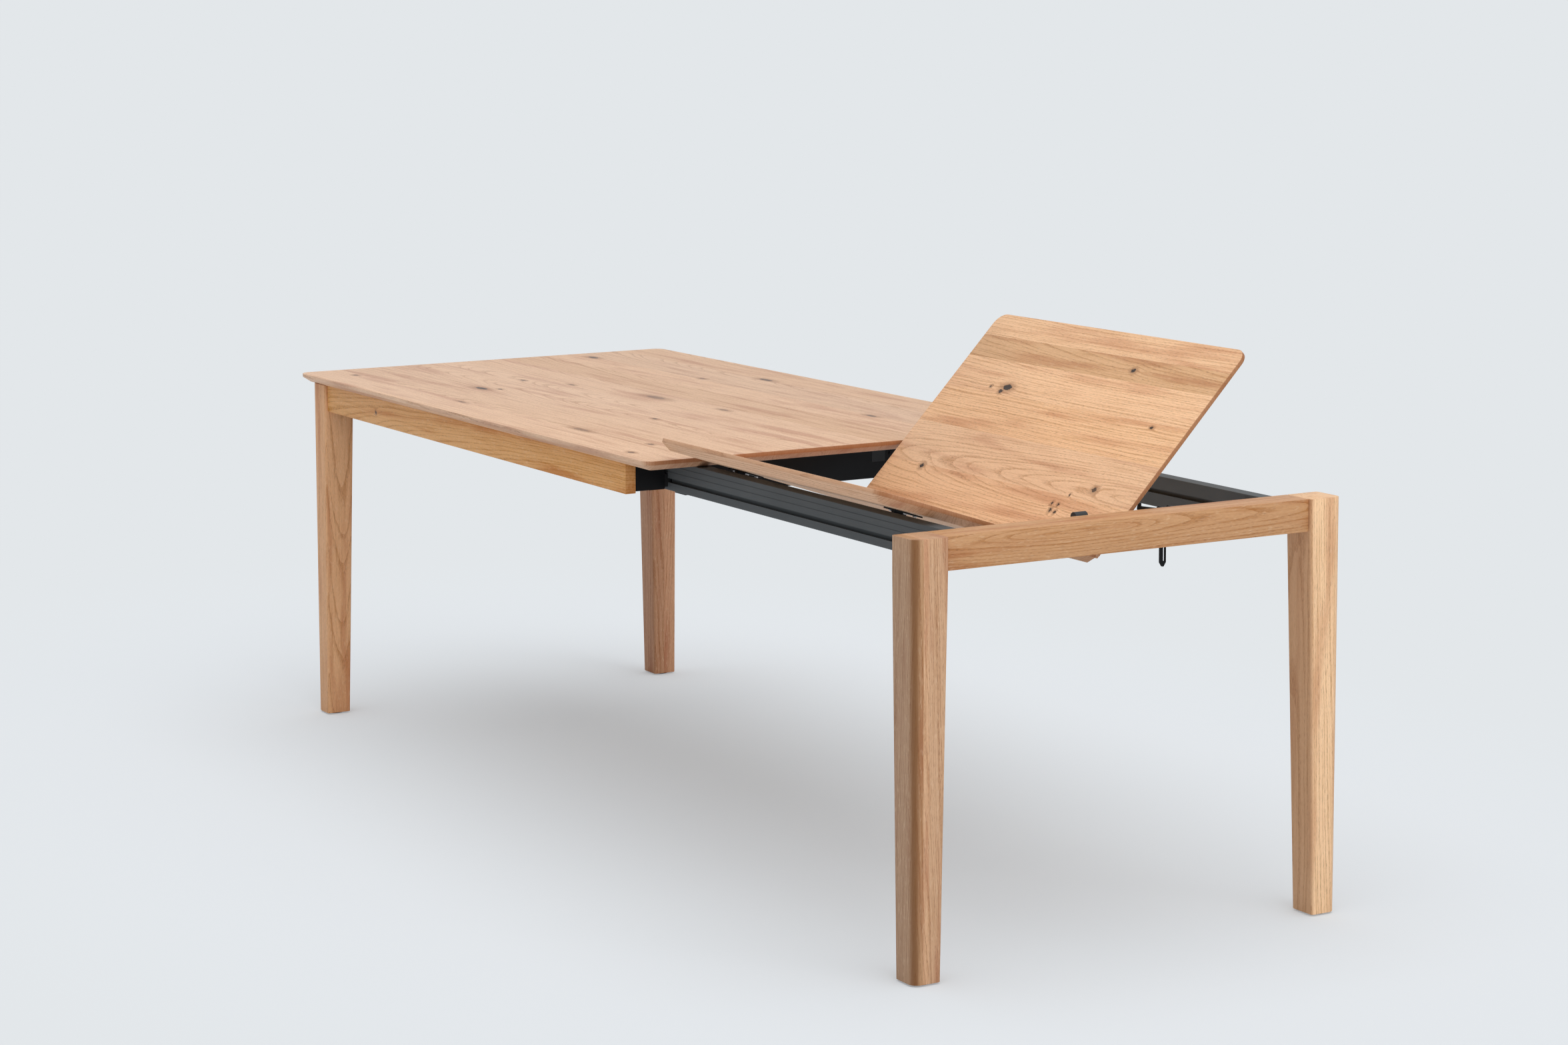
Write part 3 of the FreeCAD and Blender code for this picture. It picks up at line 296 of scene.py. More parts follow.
# %% Pores and the colour of the wood
PORE_LENGTH, PORE_WIDTH = 8 * MM, 0.6 * MM
PORE_WAVES = (1 / PORE_LENGTH, 1 / PORE_WIDTH, 1 / PORE_WIDTH)
PORE_CROWDING = 0.9  # below 1 the dashes lie further apart
PORE_RIM, PORE_FULL = 0.50, 0.64  # levels of the noise where a pore opens and is full
LATEWOOD_PORES = 0.35  # how many pores the latewood keeps
BAND_DEPTH = 0.50  # how much of the earlywood's colour a ring takes
MOTTLE_GAIN, MOTTLE_OFFSET = 2.0, -0.97
STREAK_RIM, STREAK_FULL, STREAK_DEPTH = 0.48, 0.70, 0.65


def open_pores(tree, log_place, earlywood):
    """1 in an open pore, 0 in the solid wood."""
    stretched = add(tree, "VectorMath", (log_place, PORE_WAVES), operation="MULTIPLY")
    dashes = add(tree, "TexNoise", {"Vector": stretched, "Scale": PORE_CROWDING,
                                    "Detail": 2.0, "Roughness": 0.6})
    pore = add(tree, "MapRange", {"Value": dashes, "From Min": PORE_RIM,
                                  "From Max": PORE_FULL})
    in_ring = add(tree, "MapRange", {"Value": earlywood, "To Min": LATEWOOD_PORES})
    return add(tree, "Math", (pore, in_ring), operation="MULTIPLY")


def wood_colour(tree, earlywood, fibre, drift, shade, warmth, redder):
    """Rings and fibres, then broad streaks, then the stave's own tone."""
    banded = add(tree, "Math", (earlywood, BAND_DEPTH), operation="MULTIPLY")
    mottled = add(tree, "Math", (fibre, MOTTLE_GAIN, MOTTLE_OFFSET), operation="MULTIPLY_ADD")
    blend = add(tree, "Math", (banded, mottled), operation="ADD", use_clamp=True)
    colour = add(tree, "Mix", {"Factor": blend, "A": linear(OAK_LATEWOOD),
                               "B": linear(OAK_EARLYWOOD)}, data_type="RGBA")
    streak = add(tree, "MapRange", {"Value": drift, "From Min": STREAK_RIM,
                                    "From Max": STREAK_FULL, "To Max": STREAK_DEPTH},
                 interpolation_type="SMOOTHSTEP")
    colour = add(tree, "Mix", {"Factor": streak, "A": colour, "B": linear(OAK_STREAK)},
                 data_type="RGBA")
    strength = add(tree, "Math", (warmth, 1.0), operation="ADD")
    return add(tree, "HueSaturation", {"Hue": 0.5 - redder / 360, "Saturation": strength,
                                       "Value": shade, "Color": colour})


print("pores", round(PORE_LENGTH / MM, 1), "by", round(PORE_WIDTH / MM, 1), "mm")

# %% [markdown]
# Rays run from the pith outwards and show as small silvery flecks where the saw lays them
# bare. Mineral stain is a brown band along the grain, whose edge frays with the fibres.
# Both lie over the wood's own colour, so only their strength at a point is worked out.

# %% Rays and mineral stain
RAY_WAVES = (70, 300, 300)
RAY_RIM, RAY_FULL, RAY_DEPTH = 0.60, 0.72, 0.16
STAIN_RIM, STAIN_FULL = 1.9, 0.7  # where the stain begins and is full, in half widths


def ray_flecks(tree, log_place):
    """How much of a ray's colour shows."""
    rays = long_noise(tree, log_place, RAY_WAVES, 1.0)
    return add(tree, "MapRange", {"Value": rays, "From Min": RAY_RIM, "From Max": RAY_FULL,
                                  "To Max": RAY_DEPTH})


def stained(tree, point, fibre, streak):
    """How much stain one streak gives: place across and through, half width, strength."""
    across, through, half_width, amount = streak
    away = add(tree, "VectorMath", (point, (0, across, through)), operation="SUBTRACT")
    beside = add(tree, "VectorMath", (away, (0, 1, 1)), operation="MULTIPLY")
    reach = add(tree, "VectorMath", (beside,), operation="LENGTH")
    frayed = add(tree, "Math", (fibre, half_width, reach), operation="MULTIPLY_ADD")
    return add(tree, "MapRange", {"Value": frayed, "From Min": STAIN_RIM * half_width,
                                  "From Max": STAIN_FULL * half_width, "To Max": amount},
               interpolation_type="SMOOTHSTEP")


print("ray flecks about", round(1000 / RAY_WAVES[1], 1), "mm wide")

# %% [markdown]
# The recipe puts these together. The board's own axes come first: along the grain,
# across it and through it. Then the rings and the wood's colour, and over that one coat
# after another: rays, stain, pores, end grain with any painted shade stored with it,
# and the halo and heart of each knot. The finish is a rubbed oil: low gloss, with the
# pores left slightly open.

# %% The oak recipe
LOG_JUMP = (5, 5, 5)  # metres between staves in the log, on each axis, at most
FIBRE_WAVES = (9, 210, 210)
DRIFT_WAVES = (3.2, 34, 34)
PORE_SHADE = 0.60  # how dark an open pore is painted
HALO_RIM, HALO_FULL, HALO_DEPTH = 2.6, 0.9, 0.50  # the tinted wood round a knot
PORE_RELIEF = 0.25 * MM


def oiled_oak(name, staves, turn=(0, 0, 0), centre=(0, 0, 0), knots=(), seed=1.0,
              redder=0.0, streaks=()):
    """Solid oak, sawn, sanded and oiled. turn brings the grain to the pattern's X."""
    material, tree = new_material(name)
    place = add(tree, "TexCoord").outputs["Object"]
    moved = add(tree, "VectorMath", (place, centre), operation="SUBTRACT")
    point = add(tree, "Mapping", {"Vector": moved, "Rotation": turn})
    split = add(tree, "SeparateXYZ", (point,)).outputs
    across, shade, warmth, dice = stave_of(tree, split["Y"], staves, seed)

    # each stave takes its wood from another place in the log
    jump = add(tree, "CombineXYZ", {"X": dice["Red"], "Y": dice["Green"], "Z": dice["Blue"]})
    log_place = add(tree, "VectorMath", (jump, LOG_JUMP, point), operation="MULTIPLY_ADD")
    distance = from_pith(tree, split, across, dice, log_place)
    if knots:
        near, heart = nearest_knot(tree, point, knots)
        distance = pushed_aside(tree, distance, near)
    earlywood = earlywood_of(tree, distance)
    pores = open_pores(tree, log_place, earlywood)
    fibre = long_noise(tree, log_place, FIBRE_WAVES, 4.0, 0.65)
    drift = long_noise(tree, log_place, DRIFT_WAVES, 3.0)
    colour = wood_colour(tree, earlywood, fibre, drift, shade, warmth, redder)
    height = add(tree, "Math", (pores, -1.0), operation="MULTIPLY")

    # one coat of colour over another
    coats = [(ray_flecks(tree, log_place), OAK_RAY)]
    coats += [(stained(tree, point, fibre, streak), OAK_STAIN) for streak in streaks]
    coats.append((add(tree, "Math", (pores, PORE_SHADE), operation="MULTIPLY"), OAK_PORE))
    # end grain, and painted shade where a piece stores it
    coats.append((add(tree, "Attribute", attribute_name="end_grain").outputs["Fac"], OAK_END_AND_SHADE))
    if knots:
        halo = add(tree, "MapRange", {"Value": near, "From Min": HALO_RIM, "From Max": HALO_FULL,
                                      "To Max": HALO_DEPTH}, interpolation_type="SMOOTHSTEP")
        coats += [(halo, OAK_HALO), (heart, OAK_KNOT)]
        height = add(tree, "Math", (height, heart), operation="SUBTRACT")
    for cover, paint in coats:
        colour = add(tree, "Mix", {"Factor": cover, "A": colour, "B": linear(paint)},
                     data_type="RGBA")

    bump = add(tree, "Bump", {"Height": height, "Strength": 0.35, "Distance": PORE_RELIEF})
    shader = add(tree, "BsdfPrincipled", {
        "Base Color": colour, "Roughness": OAK_ROUGHNESS, "Specular IOR Level": OAK_GLOSS,
        "Normal": bump})
    add(tree, "OutputMaterial", {"Surface": shader})
    return material


print("oak recipe ready")

# %% [markdown]
# End grain drinks oil like a bundle of straws and turns darker. The long edges of the leaf
# boards are made a little darker too, and the far end leg's sides are darkened as painted
# shade. The recipe can't know where a board ends, so each face of a piece stores how much
# darker it is.

# %% How much darker each face is: end grain, and painted shade
def mark_end_grain_and_shade(piece, grain, up, end_share, side_share=0.0):
    """Store how much darker each face is: end grain by end_share, its sides by side_share."""
    darkening = piece.data.attributes.new("end_grain", "FLOAT", "FACE")
    for face, mark in zip(piece.data.polygons, darkening.data):
        along = abs(face.normal.dot(grain))
        upward = abs(face.normal.dot(up))
        sideways = math.sqrt(max(0.0, 1 - along ** 2 - upward ** 2))
        mark.value = along * end_share + sideways * side_share


print("end grain helper ready")

# %% [markdown]
# ## Sizes, read from the frame
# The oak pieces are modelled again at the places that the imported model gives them, so
# their sizes are asked of it. Only what a bounding box can't tell is named here: the
# profile of the board edge, the rounding of the corners and the taper of the legs.

# %% Edge profile and corner sizes
EDGE_FACE = 7.5 * MM  # upright face round a board's upper edge
BEVEL_INSET = 18 * MM  # how far the slant below it runs in
TOP_CORNER = 22 * MM  # rounding of the corners, seen from above
LEAF_CORNER = 25 * MM
CORNER_STEPS = 10
ARRIS = 0.9 * MM  # the rounding that sandpaper gives an edge

top_low, top_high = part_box("table_top")
print("tabletop", [round(v / MM, 1) for v in (top_high - top_low)], "mm")

# %% [markdown]
# ## Boards
# A board starts as a cube that is stretched to size. Its upright corner edges are
# bevelled round, and its lower face is inset and pushed down in one step, which makes
# the slanted underside that lets a thick board look thin. A last small bevel
# softens every edge, as sandpaper does.

# %% Starting, selecting and softening
STEEP = 4  # an edge stands up when it rises this many times its run
SHARP = math.radians(32)  # an edge is softened when its faces meet at more than this
SMOOTH = math.radians(35)  # and shaded smooth when they meet at less than this


def start(name, primitive, **settings):
    """Add a primitive while nothing else is selected, and name it."""
    bpy.ops.object.select_all(action="DESELECT")
    primitive(**settings)
    bpy.context.object.name = name
    return bpy.context.object


def settle(piece):
    """Move a piece's place, turn and size from the object into its mesh."""
    only(piece)
    bpy.ops.object.transform_apply(location=True, rotation=True, scale=True)


def box_piece(name, low, high):
    """A cube, stretched and placed between two corners, with its place in its mesh."""
    low, high = Vector(low), Vector(high)
    piece = start(name, bpy.ops.mesh.primitive_cube_add, size=1, location=(low + high) / 2)
    piece.dimensions = high - low
    settle(piece)
    return piece


def pick(piece, kind, wanted):
    """In edit mode, select just the edges or faces that wanted() accepts."""
    bpy.ops.mesh.select_mode(type={"edges": "EDGE", "faces": "FACE"}[kind])
    bpy.ops.mesh.select_all(action="DESELECT")
    mesh = bmesh.from_edit_mesh(piece.data)
    for part in getattr(mesh, kind):
        if wanted(part):
            part.select = True
    mesh.select_flush_mode()
    bmesh.update_edit_mesh(piece.data)


def upright(edge):
    """True for an edge that stands up."""
    a, b = (v.co for v in edge.verts)
    return abs(a.z - b.z) > STEEP * (a.xy - b.xy).length


def faces_down(face):
    """True for a face that looks at the floor."""
    return face.normal.z < -0.9


def soften(piece, width=ARRIS, segments=2):
    """Round every sharp edge a little, and shade the small curves smoothly."""
    only(piece)
    modifier = piece.modifiers.new("arris", "BEVEL")
    modifier.width = width
    modifier.segments = segments
    modifier.limit_method = "ANGLE"
    modifier.angle_limit = SHARP
    bpy.ops.object.modifier_apply(modifier=modifier.name)
    bpy.ops.object.shade_smooth_by_angle(angle=SMOOTH)


def cut_away(piece, tool):
    """Take a tool's shape out of a piece, then put the tool away."""
    only(piece)
    cut = piece.modifiers.new("cut", "BOOLEAN")
    cut.operation = "DIFFERENCE"
    cut.object = tool
    bpy.ops.object.modifier_apply(modifier=cut.name)
    bpy.data.objects.remove(tool)


print("softening rounds edges by", ARRIS / MM, "mm")

# %% A board with the slanted underside
def bevelled_board(name, low, high, corner):
    """A board whose upright edge face stands over an inward slant, all round."""
    upper_low = (low[0], low[1], high[2] - EDGE_FACE)
    board = box_piece(name, upper_low, high)
    bpy.ops.object.mode_set(mode="EDIT")
    pick(board, "edges", upright)
    bpy.ops.mesh.bevel(offset=corner, segments=CORNER_STEPS, affect="EDGES")
    pick(board, "faces", faces_down)
    bpy.ops.mesh.inset(thickness=BEVEL_INSET, depth=upper_low[2] - low[2])
    bpy.ops.object.mode_set(mode="OBJECT")
    return board


tabletop = bevelled_board("oak_tabletop", top_low, top_high, TOP_CORNER)
soften(tabletop)
print("tabletop has", len(tabletop.data.polygons), "faces")

# %% [markdown]
# The leaf is one such board, sawn in two along its middle. Each half is cut flat,
# bored for its barrel hinges, and only then turned to the tilt at which it stands.
# The near half turns about its pivot pins, and the far half first about the seam.

# %% Where the leaf turns
NEAR_TILT = math.radians(18.2)  # how the near half hangs down to the seam
FAR_TILT = math.radians(45.9)  # how the far half rises from it

leaf_low_x, leaf_high_x = (corner.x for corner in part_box("leaf_board_near"))
leaf_low = (leaf_low_x, top_low.y, top_low.z)
leaf_high = (leaf_high_x, top_high.y, top_high.z)
joint_place = {joint["name"]: Vector(joint.get("pos_m", (0, 0, 0)))
               for joint in frame["joints"]}
pivot = joint_place["leaf_tilt"]
seam_line = Vector((0, 0, top_high.z))


def turn_about(place, angle):
    """A turn about a line along X through a point."""
    return (Matrix.Translation(place) @ Matrix.Rotation(angle, 4, "X")
            @ Matrix.Translation(-place))


near_pose = turn_about(pivot, -NEAR_TILT)
far_pose = near_pose @ turn_about(seam_line, NEAR_TILT + FAR_TILT)
print("leaf from", round(leaf_low_x, 4), "to", round(leaf_high_x, 4), "m")

# %% Saw, bore and tilt the two halves
SEAM_GAP = 0.3 * MM
HINGE_BORE = 6.05 * MM
HINGE_BORE_SIDES = 32
HINGE_DEPTH = 15.1 * MM
HINGE_PLACES = (75 * MM, 275 * MM, 475 * MM, 675 * MM)  # along the seam
board_middle = (top_low.z + top_high.z) / 2


def bore(board, side):
    """Drill the blind holes of the barrel hinges into a half's seam edge."""
    for along in HINGE_PLACES:
        drill = start("drill", bpy.ops.mesh.primitive_cylinder_add,
                      vertices=HINGE_BORE_SIDES, radius=HINGE_BORE, depth=2 * HINGE_DEPTH,
                      location=(leaf_low_x + along, side * SEAM_GAP / 2, board_middle),
                      rotation=(QUARTER, 0, 0))
        cut_away(board, drill)


def leaf_half(name, side, pose):
    """One board of the leaf: side is -1 for the near half and +1 for the far half."""
    board = bevelled_board(name, leaf_low, leaf_high, LEAF_CORNER)
    bpy.ops.object.mode_set(mode="EDIT")
    bpy.ops.mesh.select_all(action="SELECT")
    bpy.ops.mesh.bisect(plane_co=(0, side * SEAM_GAP / 2, 0), plane_no=(0, side, 0),
                        use_fill=True, clear_inner=True)
    bpy.ops.object.mode_set(mode="OBJECT")
    soften(board)
    bore(board, side)
    board.matrix_world = pose
    settle(board)
    return board


near_board = leaf_half("oak_leaf_near", -1, near_pose)
far_board = leaf_half("oak_leaf_far", 1, far_pose)
print("far board reaches", round(max(v.co.z for v in far_board.data.vertices), 4), "m up")

# %% [markdown]
# In the open seam, thin plates link the barrels of one board to those of the other.
# They lie on arcs about the seam line, so one plate is spun about that line and then
# copied, four to a hinge with a pin through them.

# %% One link, spun about the seam
LINK_INNER, LINK_OUTER, LINK_THICKNESS = 6.0 * MM, 13.0 * MM, 1.6 * MM
LINK_STEPS = 16
LINKS_PER_HINGE = 4
BARREL_RADIUS = 6.0 * MM
open_angle = NEAR_TILT + FAR_TILT
link_step = 2 * BARREL_RADIUS / (LINKS_PER_HINGE + 1)
link_middle = seam_line - ALONG_Z * (LINK_INNER + LINK_OUTER) / 2
first_hinge = ALONG_X * (leaf_low_x + HINGE_PLACES[0])
first_link = first_hinge + ALONG_X * (link_step - BARREL_RADIUS)

links = start("brass_hinge_links", bpy.ops.mesh.primitive_plane_add, size=1,
              location=first_link + link_middle, rotation=(QUARTER, 0, 0))
links.dimensions = (LINK_THICKNESS, LINK_OUTER - LINK_INNER, 0)
settle(links)
bpy.ops.object.mode_set(mode="EDIT")
bpy.ops.mesh.select_all(action="SELECT")
bpy.ops.mesh.spin(steps=LINK_STEPS, angle=open_angle, center=seam_line, axis=(-1, 0, 0))
bpy.ops.mesh.select_all(action="SELECT")
bpy.ops.mesh.normals_make_consistent(inside=False)
bpy.ops.object.mode_set(mode="OBJECT")
print("one link has", len(links.data.polygons), "faces")

# %% All links, their pins and their place in the seam
LINK_PIN_RADIUS = 1.0 * MM
LINK_PIN_SIDES = 16
LINK_ARRIS = 0.15 * MM
half_open = turn_about(seam_line, open_angle / 2)


def repeat(piece, count, step):
    """Copy a piece along X, so that there are count of it in one mesh."""
    only(piece)
    row = piece.modifiers.new("row", "ARRAY")
    row.count = count
    row.use_relative_offset = False
    row.use_constant_offset = True
    row.constant_offset_displace = (step, 0, 0)
    bpy.ops.object.modifier_apply(modifier=row.name)


repeat(links, LINKS_PER_HINGE, link_step)
start("pin", bpy.ops.mesh.primitive_cylinder_add, vertices=LINK_PIN_SIDES,
      radius=LINK_PIN_RADIUS, depth=2 * BARREL_RADIUS,
      location=first_hinge + half_open @ link_middle, rotation=(0, QUARTER, 0))
links.select_set(True)
bpy.context.view_layer.objects.active = links
bpy.ops.object.join()
soften(links, LINK_ARRIS, 1)
repeat(links, len(HINGE_PLACES), HINGE_PLACES[1] - HINGE_PLACES[0])
links.matrix_world = near_pose
settle(links)
print("hinge links:", len(links.data.polygons), "faces")

# %% [markdown]
# ## Legs
# Each leg is straight beside the aprons and tapers below them on its two inner faces
# only, so its outer faces stay upright. That is modelled as a short block whose lower
# face is extruded to the floor and then shrunk towards the outer corner. The outer
# corner gets a wide round and the other three a small one. A fixed leg is also cut flat
# across its inner corner beside the aprons, where the steel corner plate is bolted on.

# %% The seat of a corner plate
LEG_SEAT = 19 * MM  # flat across a fixed leg's inner corner, for its steel plate


def cut_flat(piece, corner, top):
    """Saw the flat seat of a corner plate from a leg, down to the apron's lower edge."""
    side = LEG_SEAT * math.sqrt(2)
    saw = start("saw", bpy.ops.mesh.primitive_cube_add, size=1,
                location=(corner.x, corner.y, (corner.z + top) / 2 + side))
    saw.dimensions = (side, side, top - corner.z + 2 * side)
    saw.rotation_euler = (0, 0, QUARTER / 2)
    cut_away(piece, saw)


print("seat of a corner plate", LEG_SEAT / MM, "mm deep")

# %% A leg
LEG_OUTER_ROUND = (15.5 * MM, 12)  # size and steps of the rounding
LEG_ROUND = (5 * MM, 5)  # and of the other three corners
LEG_EDGE = 0.7 * MM
FOOT_SHARE = (54.5 / 68, 53 / 67)  # what the taper leaves of the leg, along X and Y


def leg(name, node, joint_height, seat):
    """A tapered leg inside a node's box. Its outer corner looks away from the middle."""
    low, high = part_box(node)
    outer_x, inner_x = (low.x, high.x) if low.x + high.x < 0 else (high.x, low.x)
    outer_y, inner_y = (low.y, high.y) if low.y + high.y < 0 else (high.y, low.y)
    outer = Vector((outer_x, outer_y, low.z))
    middle = (low + high) / 2
    piece = box_piece(name, (low.x, low.y, joint_height), high)
    bpy.ops.object.mode_set(mode="EDIT")
    pick(piece, "faces", faces_down)
    bpy.ops.mesh.extrude_region_move(
        TRANSFORM_OT_translate={"value": (0, 0, low.z - joint_height)})
    bpy.ops.transform.resize(value=(*FOOT_SHARE, 1), center_override=outer)

    def at_corner(edge, corner_x, corner_y):
        place = (edge.verts[0].co + edge.verts[1].co) / 2
        return (upright(edge) and (place.x > middle.x) == (corner_x > middle.x)
                and (place.y > middle.y) == (corner_y > middle.y))

    for corner_y in (inner_y, outer_y):
        for corner_x in (inner_x, outer_x):
            at_outer = (corner_x, corner_y) == (outer_x, outer_y)
            size, steps = LEG_OUTER_ROUND if at_outer else LEG_ROUND
            pick(piece, "edges", lambda edge: at_corner(edge, corner_x, corner_y))
            bpy.ops.mesh.bevel(offset=size, segments=steps, affect="EDGES")
    bpy.ops.object.mode_set(mode="OBJECT")
    if seat:
        cut_flat(piece, Vector((inner_x, inner_y, joint_height)), high.z)
    soften(piece, LEG_EDGE)
    return piece


apron_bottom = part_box("side_apron_near")[0].z
legs = {}
for node in ("fixed_leg_near", "fixed_leg_far", "end_leg_near", "end_leg_far"):
    legs[node] = leg("oak_" + node, node, apron_bottom, node.startswith("fixed"))
    print(node, "has", len(legs[node].data.polygons), "faces")

# %% [markdown]
# ## Aprons and end beam
# These are plain planed bars. Their length comes from the frame, and only their edges
# need work.

# %% Bars
BAR_EDGE = 0.8 * MM

bars = {}
for node in ("side_apron_near", "side_apron_far", "end_apron", "end_beam"):
    bars[node] = box_piece("oak_" + node, *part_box(node))
    soften(bars[node], BAR_EDGE)
print("bars:", ", ".join(sorted(bars)))

# %% [markdown]
# ## Oak for each piece
# The same recipe serves all oak pieces. Each gets its own cut of the log, its glue
# lines and its knots, and the Mapping node turns the grain: along the tabletop, across
# the end beam and up the legs.

# %% Staves and knots of the tabletop
top_middle = (top_low + top_high) / 2
TOP_END = 0.85  # how much of the end grain's colour the table's ends take
# painted sheen: the tabletop's staves are greyer than plain oak, for light glancing off the top
TOP_STAVES_WITH_SHEEN = (
    (-1.000, 0.98, -0.14), (-0.352, 0.92, -0.12), (-0.262, 0.93, -0.13),
    (-0.148, 0.94, -0.14), (-0.052, 0.93, -0.12), (0.048, 0.85, -0.06),
    (0.152, 0.93, -0.10), (0.236, 0.87, -0.12), (0.348, 0.87, -0.08),
)
TOP_KNOTS = (
    (-0.334, -0.232, 0.026, 0.009, 0.9), (-0.300, -0.205, 0.008, 0.005, 0.9),
    (-0.005, 0.007, 0.040, 0.011, 0.45), (-0.715, 0.231, 0.022, 0.009, 0.8),
    (-0.235, 0.246, 0.012, 0.006, 0.5), (-0.143, 0.351, 0.028, 0.008, 0.8),
    (0.289, -0.155, 0.010, 0.005, 0.8), (0.244, 0.027, 0.018, 0.006, 0.45),
    (0.353, -0.350, 0.034, 0.007, 0.40), (0.601, -0.333, 0.010, 0.005, 0.6),
    (0.676, -0.414, 0.010, 0.006, 0.6), (0.475, 0.230, 0.020, 0.006, 0.7),
    (-0.154, -0.364, 0.020, 0.004, 0.5), (-0.414, -0.095, 0.012, 0.005, 0.7),
    (-0.691, -0.364, 0.010, 0.006, 0.6), (-0.287, -0.043, 0.014, 0.004, 0.6),
)
tabletop_oak = oiled_oak("oiled oak, tabletop", TOP_STAVES_WITH_SHEEN, centre=tuple(top_middle),
                         knots=TOP_KNOTS, seed=3.0, redder=1.0)
dress(tabletop, tabletop_oak)
mark_end_grain_and_shade(tabletop, ALONG_X, ALONG_Z, TOP_END)
print("tabletop oak:", len(tabletop_oak.node_tree.nodes), "nodes")

# %% Oak of the two leaf boards
LEAF_END, LEAF_EDGE = 0.80, 0.50  # how much of that colour their ends and long edges take
FAR_STAVES = (
    (-1.000, 1.20, -0.03), (0.094, 1.17, -0.07), (0.187, 1.20, 0.0),
    (0.272, 1.20, -0.03), (0.347, 0.93, 0.05), (0.398, 1.15, -0.02),
)
FAR_KNOTS = (
    (0.187, 0.290, 0.014, 0.007, 0.95), (0.176, 0.279, 0.006, 0.005, 0.9),
    (0.137, 0.286, 0.003, 0.003, 0.9), (0.498, 0.372, 0.007, 0.005, 0.95),
    (0.655, 0.262, 0.005, 0.003, 0.95), (0.113, 0.090, 0.006, 0.006, 0.95),
    (0.627, 0.118, 0.007, 0.006, 0.8), (0.553, 0.060, 0.004, 0.005, 0.9),
    (0.563, 0.074, 0.003, 0.003, 0.9), (0.545, 0.074, 0.003, 0.004, 0.9),
    (0.568, 0.058, 0.003, 0.004, 0.9), (0.574, 0.098, 0.002, 0.003, 0.9),
)
# painted shade: the near board's staves step darker towards the seam, under the far board
NEAR_STAVES_SHADED_AT_SEAM = (
    (-1.000, 1.18, -0.08), (-0.350, 1.15, -0.07), (-0.262, 0.88, 0.0),
    (-0.168, 0.78, 0.0), (-0.085, 0.72, 0.04),
)
NEAR_KNOTS = ((0.21, -0.31, 0.012, 0.006, 0.8), (0.52, -0.12, 0.009, 0.005, 0.9))


def leaf_origin(pose):
    """The corner of a board at the table end of the seam, on its upper face."""
    return pose @ Vector((leaf_low_x, 0, top_high.z))


far_oak = oiled_oak("oiled oak, far leaf board", FAR_STAVES, turn=(-FAR_TILT, 0, 0),
                    centre=tuple(leaf_origin(far_pose)), knots=FAR_KNOTS, seed=21.0)
near_oak = oiled_oak("oiled oak, near leaf board", NEAR_STAVES_SHADED_AT_SEAM, turn=(NEAR_TILT, 0, 0),
                     centre=tuple(leaf_origin(near_pose)), knots=NEAR_KNOTS, seed=37.0,
                     redder=1.0)
for board, oak, pose in ((far_board, far_oak, far_pose), (near_board, near_oak, near_pose)):
    dress(board, oak)
    mark_end_grain_and_shade(board, ALONG_X, pose.col[2].xyz, LEAF_END, LEAF_EDGE)
print("leaf oak ready")

# %% [markdown]
# Every bar and leg is cut from another plank, so each has its own tone: how light it is,
# how saturated, and how far its hue leans to red. Staves are counted from the middle, and
# the first begins a metre out. The far end leg's sides take the end grain's colour as
# painted shade, and some legs' stave tones hold painted light and shade.

# %% Oak of the bars
ONE_STAVE = -1.0
BAR_END, LEG_END = 0.25, 0.15  # how much of the end grain's colour their ends take
# painted shade: the far end leg's sides take the end grain's colour
FAR_LEG_SIDE_SHADE = 0.48  # and how much the far end leg's sides take

bar_wood = {  # turn of the grain, its direction, shade, warmth, degrees redder, knots
    "side_apron_near": ((QUARTER, 0, 0), ALONG_X, 0.97, 0.26, 0.5,
                        ((-0.4315, 0.0025, 0.0035, 0.0035, 0.9),)),
    "side_apron_far": ((QUARTER, 0, 0), ALONG_X, 0.86, 0.20, 2.0, ()),
    "end_apron": ((-QUARTER, -QUARTER, 0), ALONG_Y, 0.80, 0.15, 2.0, ()),
    "end_beam": ((-QUARTER, -QUARTER, 0), ALONG_Y, 0.74, 0.15, 2.0, ()),
}
number = 50.0  # seeds the dice of each bar and leg


def cut_from_plank(piece, node, staves, **wood):
    """Give a bar or a leg its own oak, with the pattern centred on it."""
    low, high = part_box(node)
    dress(piece, oiled_oak("oiled oak, " + node.replace("_", " "), staves,
                           centre=tuple((low + high) / 2), **wood))


for node, (turn, grain, shade, warmth, redder, knots) in bar_wood.items():
    number += 1
    cut_from_plank(bars[node], node, ((ONE_STAVE, shade, warmth),), turn=turn,
                   knots=knots, seed=number, redder=redder)
    mark_end_grain_and_shade(bars[node], grain, ALONG_Z, BAR_END)
print("oak on", len(bars), "bars")

